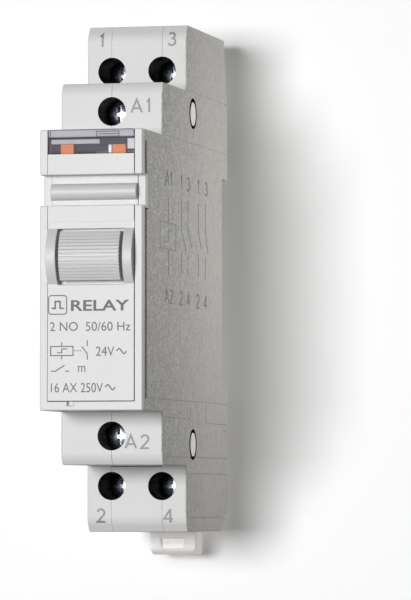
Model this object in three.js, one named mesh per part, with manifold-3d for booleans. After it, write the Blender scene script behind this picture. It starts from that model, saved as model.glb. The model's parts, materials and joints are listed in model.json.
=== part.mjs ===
// One-module step relay for a 35 mm rail, in millimetres, upright as it is mounted.
// +X is right as seen from the front, +Y goes back into the rail, +Z is up.
// The origin is the middle of the seat that rests on the rail's front face.

import * as THREE from 'three';
import { mergeVertices } from 'three/addons/utils/BufferGeometryUtils.js';
import Module from 'manifold-3d';

const wasm = await Module();
wasm.setup();

// ---- Driving dimensions -------------------------------------------------------------

const HALF_WIDTH = 8.5;          // half of the housing's width, inside a 17.5 mm module
const SIDE_WALL = 1.2;
const OUTER_WALL = 1.3;
const SHELL_GAP = 0.05;          // from the middle plane to each half shell

const FRONT_FACE_Y = -55;        // the front block's face
const MID_FACE_Y = -42;          // the coil terminals' step
const REAR_FACE_Y = -25.6;       // the contact terminals' step
const RAIL_SEAT_Y = 0;
const LEG_BACK_Y = 4;            // the legs reach past the rail seat

const FRONT_HALF_HEIGHT = 22.5;
const MID_HALF_HEIGHT = 31.1;
const REAR_HALF_HEIGHT = 42.1;
const RAIL_GAP_HALF_HEIGHT = 18.1;

const INNER_X = HALF_WIDTH - SIDE_WALL;
const MECHANISM_HALF_HEIGHT = FRONT_HALF_HEIGHT - OUTER_WALL;
const BACK_WALL_Y = -OUTER_WALL;

const TERMINAL_X = 4.3;          // contact terminals stand left and right of the middle
const CONTACT_SCREW_Z = 34.5;
const COIL_SCREW_Z = 26.4;
const SCREW_WELL_RADIUS = 2.35;
const THREAD_PITCH = 0.6;

const DIVIDER_HALF_WIDTH = 4.25;
const DIVIDER_GAP = 0.1;
const DIVIDER_WEB = 0.9;
const DIVIDER_INNER_Z = 31.3;
const DIVIDER_BACK_Y = -1.5;

// A terminal from front to back: the screw's well, its head and shank, the cage that
// the screw lifts, the strip that the wire is pressed on, and the chamber's floor.
const CONTACT_TERMINAL = {
  faceY: REAR_FACE_Y, headY: -18.3, headLength: 1.8, shankEndY: -9.85,
  chamberFrontY: -16.4, chamberBackY: -2.5,
  cageFrontY: -13, cageTop: 1.6, cageFloorY: -3.9, cageBackY: -3, cageHalfLength: 2.6,
  stripFrontY: -9.7, stripBackY: -8.7, entry: [-8.8, -3.7],
};
const COIL_TERMINAL = {
  faceY: MID_FACE_Y, headY: -37, headLength: 1.6, shankEndY: -31.45,
  chamberFrontY: -35.3, chamberBackY: -24.6,
  cageFrontY: -32.7, cageTop: 1.2, cageFloorY: -26.2, cageBackY: -25.5, cageHalfLength: 2.4,
  stripFrontY: -31.3, stripBackY: -30.5, entry: [-30.4, -26.1],
};
const CAGE_HALF_WIDTH = 3.1;
const CAGE_WALL = 0.8;
const ENTRY_HALF_WIDTH = 2.4;
const CHAMBER_INNER_Z = 22.9;
const CHAMBER_OUTER_Z = 29.9;

const ARMATURE_HINGE = { y: -2.5, z: 10.8 };
const COIL_AXIS_Y = -9.6;
const ROCKER_AXIS = { y: -27.5, z: -5 };
const ROCKER_REST_TILT = -12;    // degrees about +X, one of its two resting places
const PAWL_HINGE = { y: -27.5, z: 11.5 };
const PAWL_REST_TILT = -10;
const BLADE_ROOT = { y: -23.9, z: -19 };
const BLADE_X = 5;
const JOINING_PIN = { y: -21, z: 27.6 };

const FRAME_INNER_X = 7.2;
const INSERT_HALF_WIDTH = 7.1;
const FRAME_DEPTH = 1.6;
const MARKER_RECESS = { low: 10.3, high: 15.2, floorY: -52.5 };
const WINDOW_LOW_Z = 18.65;
const BARREL = { low: -2.3, high: 6.6, bulge: 1.7 };
const BUTTON = { halfWidth: 5, low: -1.75, high: 6.35, ribs: 15 };

const ROUND = 32;                // sides of a large round hole
const SMALL_ROUND = 20;

// ---- Materials ------------------------------------------------------------------------

const material = (colour, roughness, metalness = 0) =>
  new THREE.MeshStandardMaterial({ color: colour, roughness, metalness });

const materials = {
  housing: () => material(0xc9cac6, 0.6),
  front: () => material(0xdcdddc, 0.45),
  button: () => material(0xd8d9d8, 0.45),
  window: () => material(0xd6d3e2, 0.08),
  flag: () => material(0xe2733b, 0.5),
  white: () => material(0xf1efea, 0.5),
  bobbin: () => material(0x3b4a5c, 0.55),
  copper: () => material(0xb5693b, 0.35, 0.9),
  screw: () => material(0xc4c7ca, 0.25, 1),
  cage: () => material(0xb2b4b6, 0.35, 1),
  strip: () => material(0xb98d4a, 0.35, 0.9),
  iron: () => material(0x8e9093, 0.45, 1),
  silver: () => material(0xd9dadb, 0.25, 1),
  lever: () => material(0x2f3a46, 0.55),
  spring: () => material(0xa9acb0, 0.3, 1),
};

// ---- Solids ---------------------------------------------------------------------------

function toSolid(geometry) {
  geometry.deleteAttribute('normal');
  geometry.deleteAttribute('uv');
  const merged = mergeVertices(geometry, 1e-5);
  return new wasm.Manifold(new wasm.Mesh({
    numProp: 3,
    vertProperties: new Float32Array(merged.attributes.position.array),
    triVerts: new Uint32Array(merged.index.array),
  }));
}

function toGeometry(solid) {
  const mesh = solid.getMesh();
  const geometry = new THREE.BufferGeometry();
  geometry.setAttribute('position', new THREE.BufferAttribute(mesh.vertProperties, mesh.numProp));
  geometry.setIndex(new THREE.BufferAttribute(mesh.triVerts, 1));
  geometry.computeVertexNormals();
  return geometry;
}

const ordered = (a, b) => (a < b ? [a, b] : [b, a]);

function block(xRange, yRange, zRange) {
  const [x0, x1] = ordered(...xRange);
  const [y0, y1] = ordered(...yRange);
  const [z0, z1] = ordered(...zRange);
  const geometry = new THREE.BoxGeometry(x1 - x0, y1 - y0, z1 - z0);
  geometry.translate((x0 + x1) / 2, (y0 + y1) / 2, (z0 + z1) / 2);
  return toSolid(geometry);
}

// A side outline of [y, z] points, given width between two X values.
function slab(outline, xRange) {
  const [x0, x1] = ordered(...xRange);
  const shape = new THREE.Shape(outline.map(([y, z]) => new THREE.Vector2(y, z)));
  const geometry = new THREE.ExtrudeGeometry(shape, { depth: x1 - x0, bevelEnabled: false });
  const sideways = new THREE.Matrix4().makeBasis(
    new THREE.Vector3(0, 1, 0), new THREE.Vector3(0, 0, 1), new THREE.Vector3(1, 0, 0));
  geometry.applyMatrix4(sideways);
  geometry.translate(x0, 0, 0);
  return toSolid(geometry);
}

function rodAlongX(radius, xRange, y, z, sides = SMALL_ROUND) {
  const [x0, x1] = ordered(...xRange);
  const geometry = new THREE.CylinderGeometry(radius, radius, x1 - x0, sides);
  geometry.rotateZ(Math.PI / 2);
  geometry.translate((x0 + x1) / 2, y, z);
  return toSolid(geometry);
}

function rodAlongY(radius, x, yRange, z, sides = SMALL_ROUND) {
  const [y0, y1] = ordered(...yRange);
  const geometry = new THREE.CylinderGeometry(radius, radius, y1 - y0, sides);
  geometry.translate(x, (y0 + y1) / 2, z);
  return toSolid(geometry);
}

function rodAlongZ(radius, x, y, zRange, sides = SMALL_ROUND) {
  const [z0, z1] = ordered(...zRange);
  const geometry = new THREE.CylinderGeometry(radius, radius, z1 - z0, sides);
  geometry.rotateX(Math.PI / 2);
  geometry.translate(x, y, (z0 + z1) / 2);
  return toSolid(geometry);
}

const join = (first, ...rest) => rest.reduce((whole, next) => whole.add(next), first);
const cut = (first, ...rest) => rest.reduce((whole, next) => whole.subtract(next), first);

const assembly = new THREE.Group();

function addPart(name, solid, surface, group = assembly) {
  const mesh = new THREE.Mesh(toGeometry(solid), surface);
  mesh.name = name;
  group.add(mesh);
}

// A group turned about an axis along X, for a piece drawn upright but resting tilted.
function tiltedGroup({ y, z }, degrees) {
  const group = new THREE.Group();
  group.position.set(0, y, z);
  group.rotation.x = THREE.MathUtils.degToRad(degrees);
  assembly.add(group);
  return group;
}

// ---- Housing ----------------------------------------------------------------------------

const MID_BEVEL = { height: 1.2, depth: 0.9 };
const REAR_BEVEL = { height: 1.8, depth: 1.3 };
const SLOT_FRONT_Y = FRONT_FACE_Y + FRAME_DEPTH + 0.1;
const SLOT_BACK_Y = SLOT_FRONT_Y + 1;
const RECESS_EDGE_Y = -51;
const UPPER_LEG = { cornerY: 1.5, shoulderZ: 30 };
const LOWER_LEG = { endZ: -39.2, stepY: 2, stepZ: -40.2, lipY: 1, lipZ: -41 };
const REAR_NOTCH = { floorY: 1, highZ: -25.1, lowZ: -27.1 };
const SLOT_ZONES = { topHigh: 20.7, topLow: 15.6, bottomHigh: 9.8, bottomLow: -20.5 };

function housingOutline() {
  const topSteps = [
    [SLOT_FRONT_Y, SLOT_ZONES.topHigh], [SLOT_FRONT_Y, FRONT_HALF_HEIGHT],
    [MID_FACE_Y, FRONT_HALF_HEIGHT], [MID_FACE_Y, MID_HALF_HEIGHT - MID_BEVEL.height],
    [MID_FACE_Y + MID_BEVEL.depth, MID_HALF_HEIGHT], [REAR_FACE_Y, MID_HALF_HEIGHT],
    [REAR_FACE_Y, REAR_HALF_HEIGHT - REAR_BEVEL.height],
    [REAR_FACE_Y + REAR_BEVEL.depth, REAR_HALF_HEIGHT],
  ];
  const back = [
    [UPPER_LEG.cornerY, REAR_HALF_HEIGHT], [LEG_BACK_Y, UPPER_LEG.shoulderZ],
    [LEG_BACK_Y, RAIL_GAP_HALF_HEIGHT], [RAIL_SEAT_Y, RAIL_GAP_HALF_HEIGHT],
    [RAIL_SEAT_Y, -RAIL_GAP_HALF_HEIGHT], [LEG_BACK_Y, -RAIL_GAP_HALF_HEIGHT],
    [LEG_BACK_Y, REAR_NOTCH.highZ], [REAR_NOTCH.floorY, REAR_NOTCH.highZ],
    [REAR_NOTCH.floorY, REAR_NOTCH.lowZ], [LEG_BACK_Y, REAR_NOTCH.lowZ],
    [LEG_BACK_Y, LOWER_LEG.endZ], [LOWER_LEG.stepY, LOWER_LEG.endZ],
    [LOWER_LEG.stepY, LOWER_LEG.stepZ], [LOWER_LEG.lipY, LOWER_LEG.stepZ],
    [LOWER_LEG.lipY, LOWER_LEG.lipZ], [RAIL_SEAT_Y, LOWER_LEG.lipZ],
    [RAIL_SEAT_Y, -REAR_HALF_HEIGHT],
  ];
  const bottomSteps = [
    [REAR_FACE_Y + REAR_BEVEL.depth, -REAR_HALF_HEIGHT],
    [REAR_FACE_Y, -REAR_HALF_HEIGHT + REAR_BEVEL.height], [REAR_FACE_Y, -MID_HALF_HEIGHT],
    [MID_FACE_Y + MID_BEVEL.depth, -MID_HALF_HEIGHT],
    [MID_FACE_Y, -MID_HALF_HEIGHT + MID_BEVEL.height], [MID_FACE_Y, -FRONT_HALF_HEIGHT],
    [SLOT_FRONT_Y, -FRONT_HALF_HEIGHT], [SLOT_FRONT_Y, SLOT_ZONES.bottomLow],
  ];
  const frontEdge = [
    [SLOT_BACK_Y, SLOT_ZONES.bottomLow], [SLOT_BACK_Y, SLOT_ZONES.bottomHigh],
    [RECESS_EDGE_Y, SLOT_ZONES.bottomHigh], [RECESS_EDGE_Y, SLOT_ZONES.topLow],
    [SLOT_BACK_Y, SLOT_ZONES.topLow], [SLOT_BACK_Y, SLOT_ZONES.topHigh],
  ];
  return [...topSteps, ...back, ...bottomSteps, ...frontEdge].reverse();
}

const MAIN_HOLLOW_BACK_Y = -20;
const COIL_HOLLOW = { frontY: -23.4, backY: -2.6 };
const YOKE_HOLLOW = { frontY: -21, halfHeight: 17 };
const PLATE_POCKET = { backY: -50, lowZ: -21.75, highZ: 18.6, sideRoom: 0.6 };
const WINDOW_POCKET = { backY: -50.4, lowZ: 18 };
const AXLE = { radius: 0.75, halfLength: 7.9, clearance: 0.1 };
const OPEN = 1;                  // how far a cut runs past the face it opens

// The hollows of one half shell. side is +1 for the right half and -1 for the left.
function shellHollows(side) {
  const across = (from, to) => [side * from, side * to];
  const inside = across(-1, INNER_X);
  const hollows = [
    block(inside, [FRONT_FACE_Y, MAIN_HOLLOW_BACK_Y], [-MECHANISM_HALF_HEIGHT, MECHANISM_HALF_HEIGHT]),
    block(inside, [COIL_HOLLOW.frontY, COIL_HOLLOW.backY], [-CHAMBER_OUTER_Z, CHAMBER_OUTER_Z]),
    block(inside, [YOKE_HOLLOW.frontY, BACK_WALL_Y], [-YOKE_HOLLOW.halfHeight, YOKE_HOLLOW.halfHeight]),
    block(across(-1, FRAME_INNER_X + PLATE_POCKET.sideRoom), [FRONT_FACE_Y, PLATE_POCKET.backY],
      [PLATE_POCKET.lowZ, PLATE_POCKET.highZ]),
    block(across(-1, FRAME_INNER_X), [FRONT_FACE_Y, WINDOW_POCKET.backY],
      [WINDOW_POCKET.lowZ, FRONT_HALF_HEIGHT + OPEN]),
    rodAlongX(AXLE.radius + AXLE.clearance, across(-1, AXLE.halfLength + AXLE.clearance),
      ROCKER_AXIS.y, ROCKER_AXIS.z),
  ];
  for (const end of [1, -1]) {
    hollows.push(...coilChamber(side, end), ...contactChamber(side, end));
    hollows.push(...joiningPinHole(side, end));
  }
  return hollows;
}

const STRIP_HALF_WIDTH = 2.05;
const COIL_STRIP = { halfWidth: 1.9, innerZ: 20.3, outerZ: 28.6 };
const COIL_SIDE_POCKET = { innerX: 4.6, frontY: -40.7, margin: 0.3 };
const STRIP_ROOM = 0.2;

function coilChamber(side, end) {
  const t = COIL_TERMINAL;
  const chamberZ = [end * CHAMBER_INNER_Z, end * CHAMBER_OUTER_Z];
  const entryZ = [end * (CHAMBER_OUTER_Z - 1), end * (MID_HALF_HEIGHT + 1)];
  const slotZ = [end * (MECHANISM_HALF_HEIGHT - 1), end * (CHAMBER_INNER_Z + 1)];
  return [
    block([-side, side * INNER_X], [t.chamberFrontY, t.chamberBackY], chamberZ),
    block([side * COIL_SIDE_POCKET.innerX, side * (INNER_X - 0.2)],
      [COIL_SIDE_POCKET.frontY, t.chamberFrontY + OPEN],
      [end * (CHAMBER_INNER_Z + COIL_SIDE_POCKET.margin), end * (CHAMBER_OUTER_Z - COIL_SIDE_POCKET.margin)]),
    rodAlongY(SCREW_WELL_RADIUS, 0, [t.faceY - 1, t.chamberFrontY + 1], end * COIL_SCREW_Z, ROUND),
    block([-side, side * ENTRY_HALF_WIDTH], t.entry, entryZ),
    block([-side, side * (COIL_STRIP.halfWidth + STRIP_ROOM)],
      [t.stripFrontY - STRIP_ROOM, t.stripBackY + STRIP_ROOM], slotZ),
  ];
}

function contactChamber(side, end) {
  const t = CONTACT_TERMINAL;
  const x = side * TERMINAL_X;
  const dividerX = [-side, side * (DIVIDER_HALF_WIDTH + DIVIDER_GAP)];
  const innerZ = end * (DIVIDER_INNER_Z - DIVIDER_GAP);
  const outerZ = end * (REAR_HALF_HEIGHT + 1);
  const dividerBackY = DIVIDER_BACK_Y + DIVIDER_GAP;
  return [
    block(dividerX, [t.faceY - 1, dividerBackY], [innerZ, outerZ]),
    block([x, side * (INNER_X + 0.2)], [t.chamberFrontY, t.chamberBackY],
      [innerZ, end * (REAR_HALF_HEIGHT - SIDE_WALL)]),
    rodAlongY(SCREW_WELL_RADIUS, x, [t.faceY - 1, t.chamberFrontY + 1], end * CONTACT_SCREW_Z, ROUND),
    block([x, x + side * ENTRY_HALF_WIDTH], t.entry, [end * (REAR_HALF_HEIGHT - 2), outerZ]),
    block([x - STRIP_HALF_WIDTH - STRIP_ROOM, x + STRIP_HALF_WIDTH + STRIP_ROOM],
      [t.stripFrontY - STRIP_ROOM, t.stripBackY + STRIP_ROOM],
      [end * (CHAMBER_OUTER_Z - 1), end * (DIVIDER_INNER_Z + 1)]),
  ];
}

const PIN_HOLE_RADIUS = 2.58;
const PIN_HEAD_RADIUS = 2.1;
const PIN_HEAD_SETBACK = 0.35;   // the heads sit off centre, towards the rail
const PIN_HEAD_LENGTH = 0.9;
const PIN_SHANK_RADIUS = 1.6;
const PIN_BOSS_RADIUS = 2.2;
const PIN_CLEARANCE = 0.1;

function joiningPinHole(side, end) {
  const { y, z } = JOINING_PIN;
  const headInnerX = HALF_WIDTH - PIN_HEAD_LENGTH - PIN_CLEARANCE;
  const outside = side * (HALF_WIDTH + 0.5);
  return [
    rodAlongX(PIN_HOLE_RADIUS, [side * headInnerX, outside], y, end * z, ROUND),
    rodAlongX(PIN_SHANK_RADIUS + PIN_CLEARANCE, [-side, outside], y, end * z),
  ];
}

const TOP_POCKET = { innerX: 1.5, lowZ: 19.4, highZ: 28.6 };
const BOTTOM_POCKET = { innerX: 5.6, lowZ: -38, highZ: -19.4 };
const CLIP_HALF_WIDTH = 3.9;
const CLIP_CHANNEL_HALF_WIDTH = CLIP_HALF_WIDTH + 0.4;

// Pockets and the clip's channel, open to the back.
function rearPockets(side) {
  const fromSeat = [RAIL_SEAT_Y, LEG_BACK_Y + OPEN];
  const pocket = (p) => block([side * p.innerX, side * INNER_X], fromSeat, [p.lowZ, p.highZ]);
  const channel = block([-side, side * CLIP_CHANNEL_HALF_WIDTH], [BACK_WALL_Y, LEG_BACK_Y + OPEN],
    [-RAIL_GAP_HALF_HEIGHT, -REAR_HALF_HEIGHT - OPEN]);
  return [pocket(TOP_POCKET), pocket(BOTTOM_POCKET), channel];
}

const PANEL_LINE = { depth: 0.12, halfWidth: 0.09, inset: 0.6 };
// Lines below the block: [start y, end y, z], and uprights between them: [y, low z, high z].
const LOW_LINES = [[MID_FACE_Y, -23.5, -23.4], [-12, 3, -24], [MID_FACE_Y, LEG_BACK_Y - 1, -29.8]];
const LOW_UPRIGHTS = [[-22.6, -23.4, -21.6], [-12, -24, -20.5], [-22.5, -30.5, -29.8]];

// Fine lines on the side wall that carry the steps' edges backwards, clear of the corners.
function panelLines(side) {
  const depth = [side * (HALF_WIDTH - PANEL_LINE.depth), side * (HALF_WIDTH + OPEN)];
  const half = PANEL_LINE.halfWidth;
  const { inset } = PANEL_LINE;
  const line = (yRange, z) => block(depth, yRange, [z - half, z + half]);
  const upright = (y, zRange) => block(depth, [y - half, y + half], zRange);
  const fromMid = [MID_FACE_Y + inset, LEG_BACK_Y - 1];
  const fromRear = [REAR_FACE_Y + inset, LEG_BACK_Y - 1];
  return [
    line(fromMid, FRONT_HALF_HEIGHT), line(fromRear, MID_HALF_HEIGHT),
    line([SLOT_BACK_Y + inset, LEG_BACK_Y - 1], SLOT_ZONES.bottomLow),
    ...LOW_LINES.map(([from, to, z]) => line([from === MID_FACE_Y ? fromMid[0] : from, to], z)),
    line(fromRear, -MID_HALF_HEIGHT - 1.4), line([fromRear[0], RAIL_SEAT_Y], -39.8),
    ...LOW_UPRIGHTS.map(([y, low, high]) => upright(y, [low, high])),
  ];
}

// The fixed hook above the rail, as [y, z] points.
const RAIL_HOOK = [[1.3, 18.3], [1.3, 15.8], [2.4, 15.8], [3.6, 17], [3.6, 18.3]];
const RAIL_HOOK_HALF_WIDTH = 4;
const SPRING_RIB = { halfWidth: 1.9, frontY: -45, backY: -44, lowZ: -1 };

function halfShell(side) {
  const body = slab(housingOutline(), [side * SHELL_GAP, side * HALF_WIDTH]);
  const hollowed = cut(body, ...shellHollows(side), ...rearPockets(side), ...panelLines(side));
  const hook = slab(RAIL_HOOK, [side * SHELL_GAP, side * RAIL_HOOK_HALF_WIDTH]);
  const springRib = block([side * SHELL_GAP, side * SPRING_RIB.halfWidth],
    [SPRING_RIB.frontY, SPRING_RIB.backY], [SPRING_RIB.lowZ, MECHANISM_HALF_HEIGHT + 0.5]);
  const upperBoss = cut(pinBoss(side, 1), ...joiningPinHole(side, 1));
  const lowerBoss = cut(pinBoss(side, -1), ...joiningPinHole(side, -1));
  const shell = join(hollowed, hook, springRib, upperBoss, lowerBoss);
  return side > 0 ? join(shell, seatTongue(0)) : cut(shell, seatTongue(0.15));
}

// The right half's tongue in the left half's notch, in the middle of the rail seat.
const TONGUE = { reach: 0.9, halfHeight: 2 };

function seatTongue(clearance) {
  const reach = TONGUE.reach + clearance;
  const halfHeight = TONGUE.halfHeight + clearance;
  return block([-reach, SHELL_GAP + 0.3], [BACK_WALL_Y - clearance, RAIL_SEAT_Y + clearance],
    [-halfHeight, halfHeight]);
}

const pinBoss = (side, end) =>
  rodAlongX(PIN_BOSS_RADIUS, [side * SHELL_GAP, side * (INNER_X + 0.1)], JOINING_PIN.y, end * JOINING_PIN.z);

// The middle piece between the two contact terminals at one end of the housing.
function terminalDivider(end) {
  const t = CONTACT_TERMINAL;
  const half = [-DIVIDER_HALF_WIDTH, DIVIDER_HALF_WIDTH];
  const outline = [
    [REAR_FACE_Y, DIVIDER_INNER_Z], [DIVIDER_BACK_Y, DIVIDER_INNER_Z],
    [DIVIDER_BACK_Y, REAR_HALF_HEIGHT], [REAR_FACE_Y + REAR_BEVEL.depth, REAR_HALF_HEIGHT],
    [REAR_FACE_Y, REAR_HALF_HEIGHT - REAR_BEVEL.height],
  ].map(([y, z]) => [y, end * z]);
  const body = slab(outline, half);
  const cuts = [];
  for (const side of [1, -1]) {
    const x = side * TERMINAL_X;
    cuts.push(
      block([side * DIVIDER_WEB, side * 5], [t.chamberFrontY, t.chamberBackY],
        [end * (DIVIDER_INNER_Z - 1), end * (REAR_HALF_HEIGHT - SIDE_WALL)]),
      rodAlongY(SCREW_WELL_RADIUS, x, [t.faceY - 1, t.chamberFrontY + 1], end * CONTACT_SCREW_Z, ROUND),
      block([x, x - side * ENTRY_HALF_WIDTH], t.entry,
        [end * (REAR_HALF_HEIGHT - 2), end * (REAR_HALF_HEIGHT + 1)]));
  }
  return cut(body, ...cuts);
}

// ---- Front ------------------------------------------------------------------------------

function arcPoints(centre, radius, from, to, steps) {
  const points = [];
  for (let i = 0; i <= steps; i += 1) {
    const angle = from + ((to - from) * i) / steps;
    points.push([centre[0] - radius * Math.cos(angle), centre[1] + radius * Math.sin(angle)]);
  }
  return points;
}

const BARREL_HALF = (BARREL.high - BARREL.low) / 2;
const BARREL_RADIUS = (BARREL_HALF ** 2 + BARREL.bulge ** 2) / (2 * BARREL.bulge);
const BARREL_CENTRE = [
  FRONT_FACE_Y - BARREL.bulge + BARREL_RADIUS,
  (BARREL.high + BARREL.low) / 2,
];

const FRAME_TONGUE = { thickness: 0.5, backY: -50.2, lowZ: -21.3, highZ: 18.5, floorLowZ: -21.6 };
const FRAME_FLOOR_Z = -21.05;
const PRY_NOTCH = { x: [-3.9, -2.9], z: [-21.7, -21], depth: 0.6 };

function frontFrame() {
  const strips = [];
  for (const side of [1, -1]) {
    const strip = [side * FRAME_INNER_X, side * HALF_WIDTH];
    const tongue = [side * FRAME_INNER_X, side * (FRAME_INNER_X + FRAME_TONGUE.thickness)];
    strips.push(
      block(strip, [FRONT_FACE_Y, FRONT_FACE_Y + FRAME_DEPTH], [-FRONT_HALF_HEIGHT, FRONT_HALF_HEIGHT]),
      block(strip, [FRONT_FACE_Y, RECESS_EDGE_Y - 0.1],
        [SLOT_ZONES.bottomHigh + 0.1, SLOT_ZONES.topLow - 0.1]),
      block(tongue, [FRONT_FACE_Y + 1, FRAME_TONGUE.backY], [FRAME_TONGUE.lowZ, FRAME_TONGUE.highZ]));
  }
  const bottomStrip = block([-HALF_WIDTH, HALF_WIDTH],
    [FRONT_FACE_Y, FRONT_FACE_Y + FRAME_DEPTH], [-FRONT_HALF_HEIGHT, FRAME_FLOOR_Z]);
  const tongueX = FRAME_INNER_X + FRAME_TONGUE.thickness;
  const bottomTongue = block([-tongueX, tongueX],
    [FRONT_FACE_Y + 1, FRAME_TONGUE.backY], [FRAME_TONGUE.floorLowZ, FRAME_FLOOR_Z]);
  const recess = block([-HALF_WIDTH - 0.5, HALF_WIDTH + 0.5], [FRONT_FACE_Y - OPEN, MARKER_RECESS.floorY],
    [MARKER_RECESS.low, MARKER_RECESS.high]);
  const pryNotch = block(PRY_NOTCH.x, [FRONT_FACE_Y - OPEN, FRONT_FACE_Y + PRY_NOTCH.depth], PRY_NOTCH.z);
  return cut(join(...strips, bottomStrip, bottomTongue), recess, pryNotch);
}

const PLATE = {
  lowZ: -20.95, backY: -53.6, deepBackY: -51.5, deepLowZ: 9.1, deepHighZ: 16,
  skin: 0.8, ledge: 0.2, ledgeHighZ: 7.7, barRadius: 1.35, barDrop: 0.15, buttonHalfWidth: 5.5,
};

function frontPlate() {
  const barrelAngle = Math.asin(BARREL_HALF / BARREL_RADIUS);
  const barrel = arcPoints(BARREL_CENTRE, BARREL_RADIUS, -barrelAngle, barrelAngle, 12);
  const barMiddleZ = (MARKER_RECESS.low + MARKER_RECESS.high) / 2 - PLATE.barDrop;
  const bar = arcPoints([MARKER_RECESS.floorY, barMiddleZ], PLATE.barRadius, -Math.PI / 2, Math.PI / 2, 10);
  const ledgeY = FRONT_FACE_Y + PLATE.ledge;
  const { backY, deepBackY, deepLowZ, deepHighZ, lowZ } = PLATE;
  const skinY = FRONT_FACE_Y + PLATE.skin;
  const topZ = WINDOW_LOW_Z - 0.1;
  const outline = [
    [FRONT_FACE_Y, lowZ], ...barrel, [ledgeY, BARREL.high],
    [ledgeY, PLATE.ledgeHighZ], [FRONT_FACE_Y, PLATE.ledgeHighZ],
    [FRONT_FACE_Y, MARKER_RECESS.low], [MARKER_RECESS.floorY, MARKER_RECESS.low], ...bar,
    [MARKER_RECESS.floorY, MARKER_RECESS.high], [FRONT_FACE_Y, MARKER_RECESS.high],
    [FRONT_FACE_Y, topZ], [skinY, topZ], [skinY, deepHighZ], [deepBackY, deepHighZ],
    [deepBackY, deepLowZ], [backY, deepLowZ], [backY, lowZ],
  ].reverse();
  const buttonWindow = block([-PLATE.buttonHalfWidth, PLATE.buttonHalfWidth],
    [FRONT_FACE_Y - 5, FRONT_FACE_Y + 5], [BARREL.low - 0.05, BARREL.high]);
  return cut(slab(outline, [-INSERT_HALF_WIDTH, INSERT_HALF_WIDTH]), buttonWindow);
}

const WINDOW = { wall: 0.8, backY: -50.5, corner: 0.35 };

function indicatorWindow() {
  const innerY = FRONT_FACE_Y + WINDOW.wall;
  const innerZ = FRONT_HALF_HEIGHT - WINDOW.wall;
  const outline = [
    [FRONT_FACE_Y, WINDOW_LOW_Z], [innerY, WINDOW_LOW_Z], [innerY, innerZ],
    [WINDOW.backY, innerZ], [WINDOW.backY, FRONT_HALF_HEIGHT],
    [FRONT_FACE_Y + WINDOW.corner, FRONT_HALF_HEIGHT],
    [FRONT_FACE_Y, FRONT_HALF_HEIGHT - WINDOW.corner],
  ];
  return slab(outline, [-INSERT_HALF_WIDTH, INSERT_HALF_WIDTH]);
}

const FORK = { inner: 2.2, outer: 3, low: 0, high: 2, backY: -28.8 };

const RIB = { crest: 0.08, valley: 0.2, landEnd: 0.55, grooveStart: 0.7, grooveEnd: 0.85 };
const BUTTON_BASE = { halfWidth: 6, frontY: -53.3, backY: -52.3, lowZ: -2.9, highZ: 7.4 };

// The thumb button: a ribbed barrel, a base that keeps it in, and a fork that reaches back.
function manualButton() {
  const crest = BARREL_RADIUS + RIB.crest;
  const valley = BARREL_RADIUS - RIB.valley;
  const low = Math.asin((BUTTON.low - BARREL_CENTRE[1]) / crest);
  const high = Math.asin((BUTTON.high - BARREL_CENTRE[1]) / crest);
  const pitch = (high - low) / BUTTON.ribs;
  const ribs = [];
  for (let i = 0; i < BUTTON.ribs; i += 1) {
    const start = low + i * pitch;
    const [grooveStart, grooveEnd] = [start + pitch * RIB.grooveStart, start + pitch * RIB.grooveEnd];
    ribs.push(...arcPoints(BARREL_CENTRE, crest, start, start + pitch * RIB.landEnd, 1));
    ribs.push(...arcPoints(BARREL_CENTRE, valley, grooveStart, grooveEnd, 1));
  }
  const { frontY, backY, halfWidth, lowZ, highZ } = BUTTON_BASE;
  const outline = [...ribs, [backY, ribs.at(-1)[1]], [backY, BUTTON.low]].reverse();
  const barrel = slab(outline, [-BUTTON.halfWidth, BUTTON.halfWidth]);
  const base = block([-halfWidth, halfWidth], [frontY, backY], [lowZ, highZ]);
  const legs = [1, -1].map((side) =>
    block([side * FORK.inner, side * FORK.outer], [backY - 0.5, FORK.backY], [FORK.low, FORK.high]));
  return join(barrel, base, ...legs);
}

class Helix extends THREE.Curve {
  constructor(radius, length, turns) {
    super();
    Object.assign(this, { radius, length, turns });
  }

  getPoint(t, target = new THREE.Vector3()) {
    const angle = t * this.turns * 2 * Math.PI;
    const x = this.radius * Math.cos(angle);
    return target.set(x, t * this.length, this.radius * Math.sin(angle));
  }
}

function wireAlong(path, radius, steps, sides = 6) {
  const section = new THREE.Shape();
  section.absarc(0, 0, radius, 0, 2 * Math.PI);
  const geometry = new THREE.ExtrudeGeometry(section,
    { steps, extrudePath: path, curveSegments: sides, bevelEnabled: false });
  return geometry;
}

const BUTTON_SPRING = { radius: 1.35, length: 5.4, turns: 5, wireRadius: 0.2, frontY: -50.8, z: 1 };

function buttonSpring() {
  const { radius, length, turns, wireRadius, frontY, z } = BUTTON_SPRING;
  const geometry = wireAlong(new Helix(radius, length, turns), wireRadius, 55);
  geometry.translate(0, frontY, z);
  return toSolid(geometry);
}

const FLAG = {
  halfWidth: 1.07, faceY: [-53.7, -53], stemY: [-50.6, -49.8], backY: -31.4,
  lowZ: 18.4, highZ: 20.7, armHighZ: 19.1, footZ: [-3.2, -2.4],
};

// A flag in the window on a bar that goes down and back to the rocker.
function indicatorFlag(side) {
  const across = [side * (TERMINAL_X - FLAG.halfWidth), side * (TERMINAL_X + FLAG.halfWidth)];
  return join(
    block(across, FLAG.faceY, [FLAG.lowZ, FLAG.highZ]),
    block(across, [FLAG.faceY[0], FLAG.stemY[1]], [FLAG.lowZ, FLAG.armHighZ]),
    block(across, FLAG.stemY, [FLAG.footZ[0], FLAG.armHighZ]),
    block(across, [FLAG.stemY[0], FLAG.backY], FLAG.footZ));
}

// ---- Terminals ----------------------------------------------------------------------------

const SCREW_HEAD_RADIUS = 2.1;
const SHANK_RADIUS = 1.65;
// One arm of the cross is long enough to be a slot across the whole head.
const SCREW_RECESS = { slotReach: 2.6, crossReach: 1.35, halfWidth: 0.32, depth: 1.1 };
const THREAD_CLEARANCE = 0.2;

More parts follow.
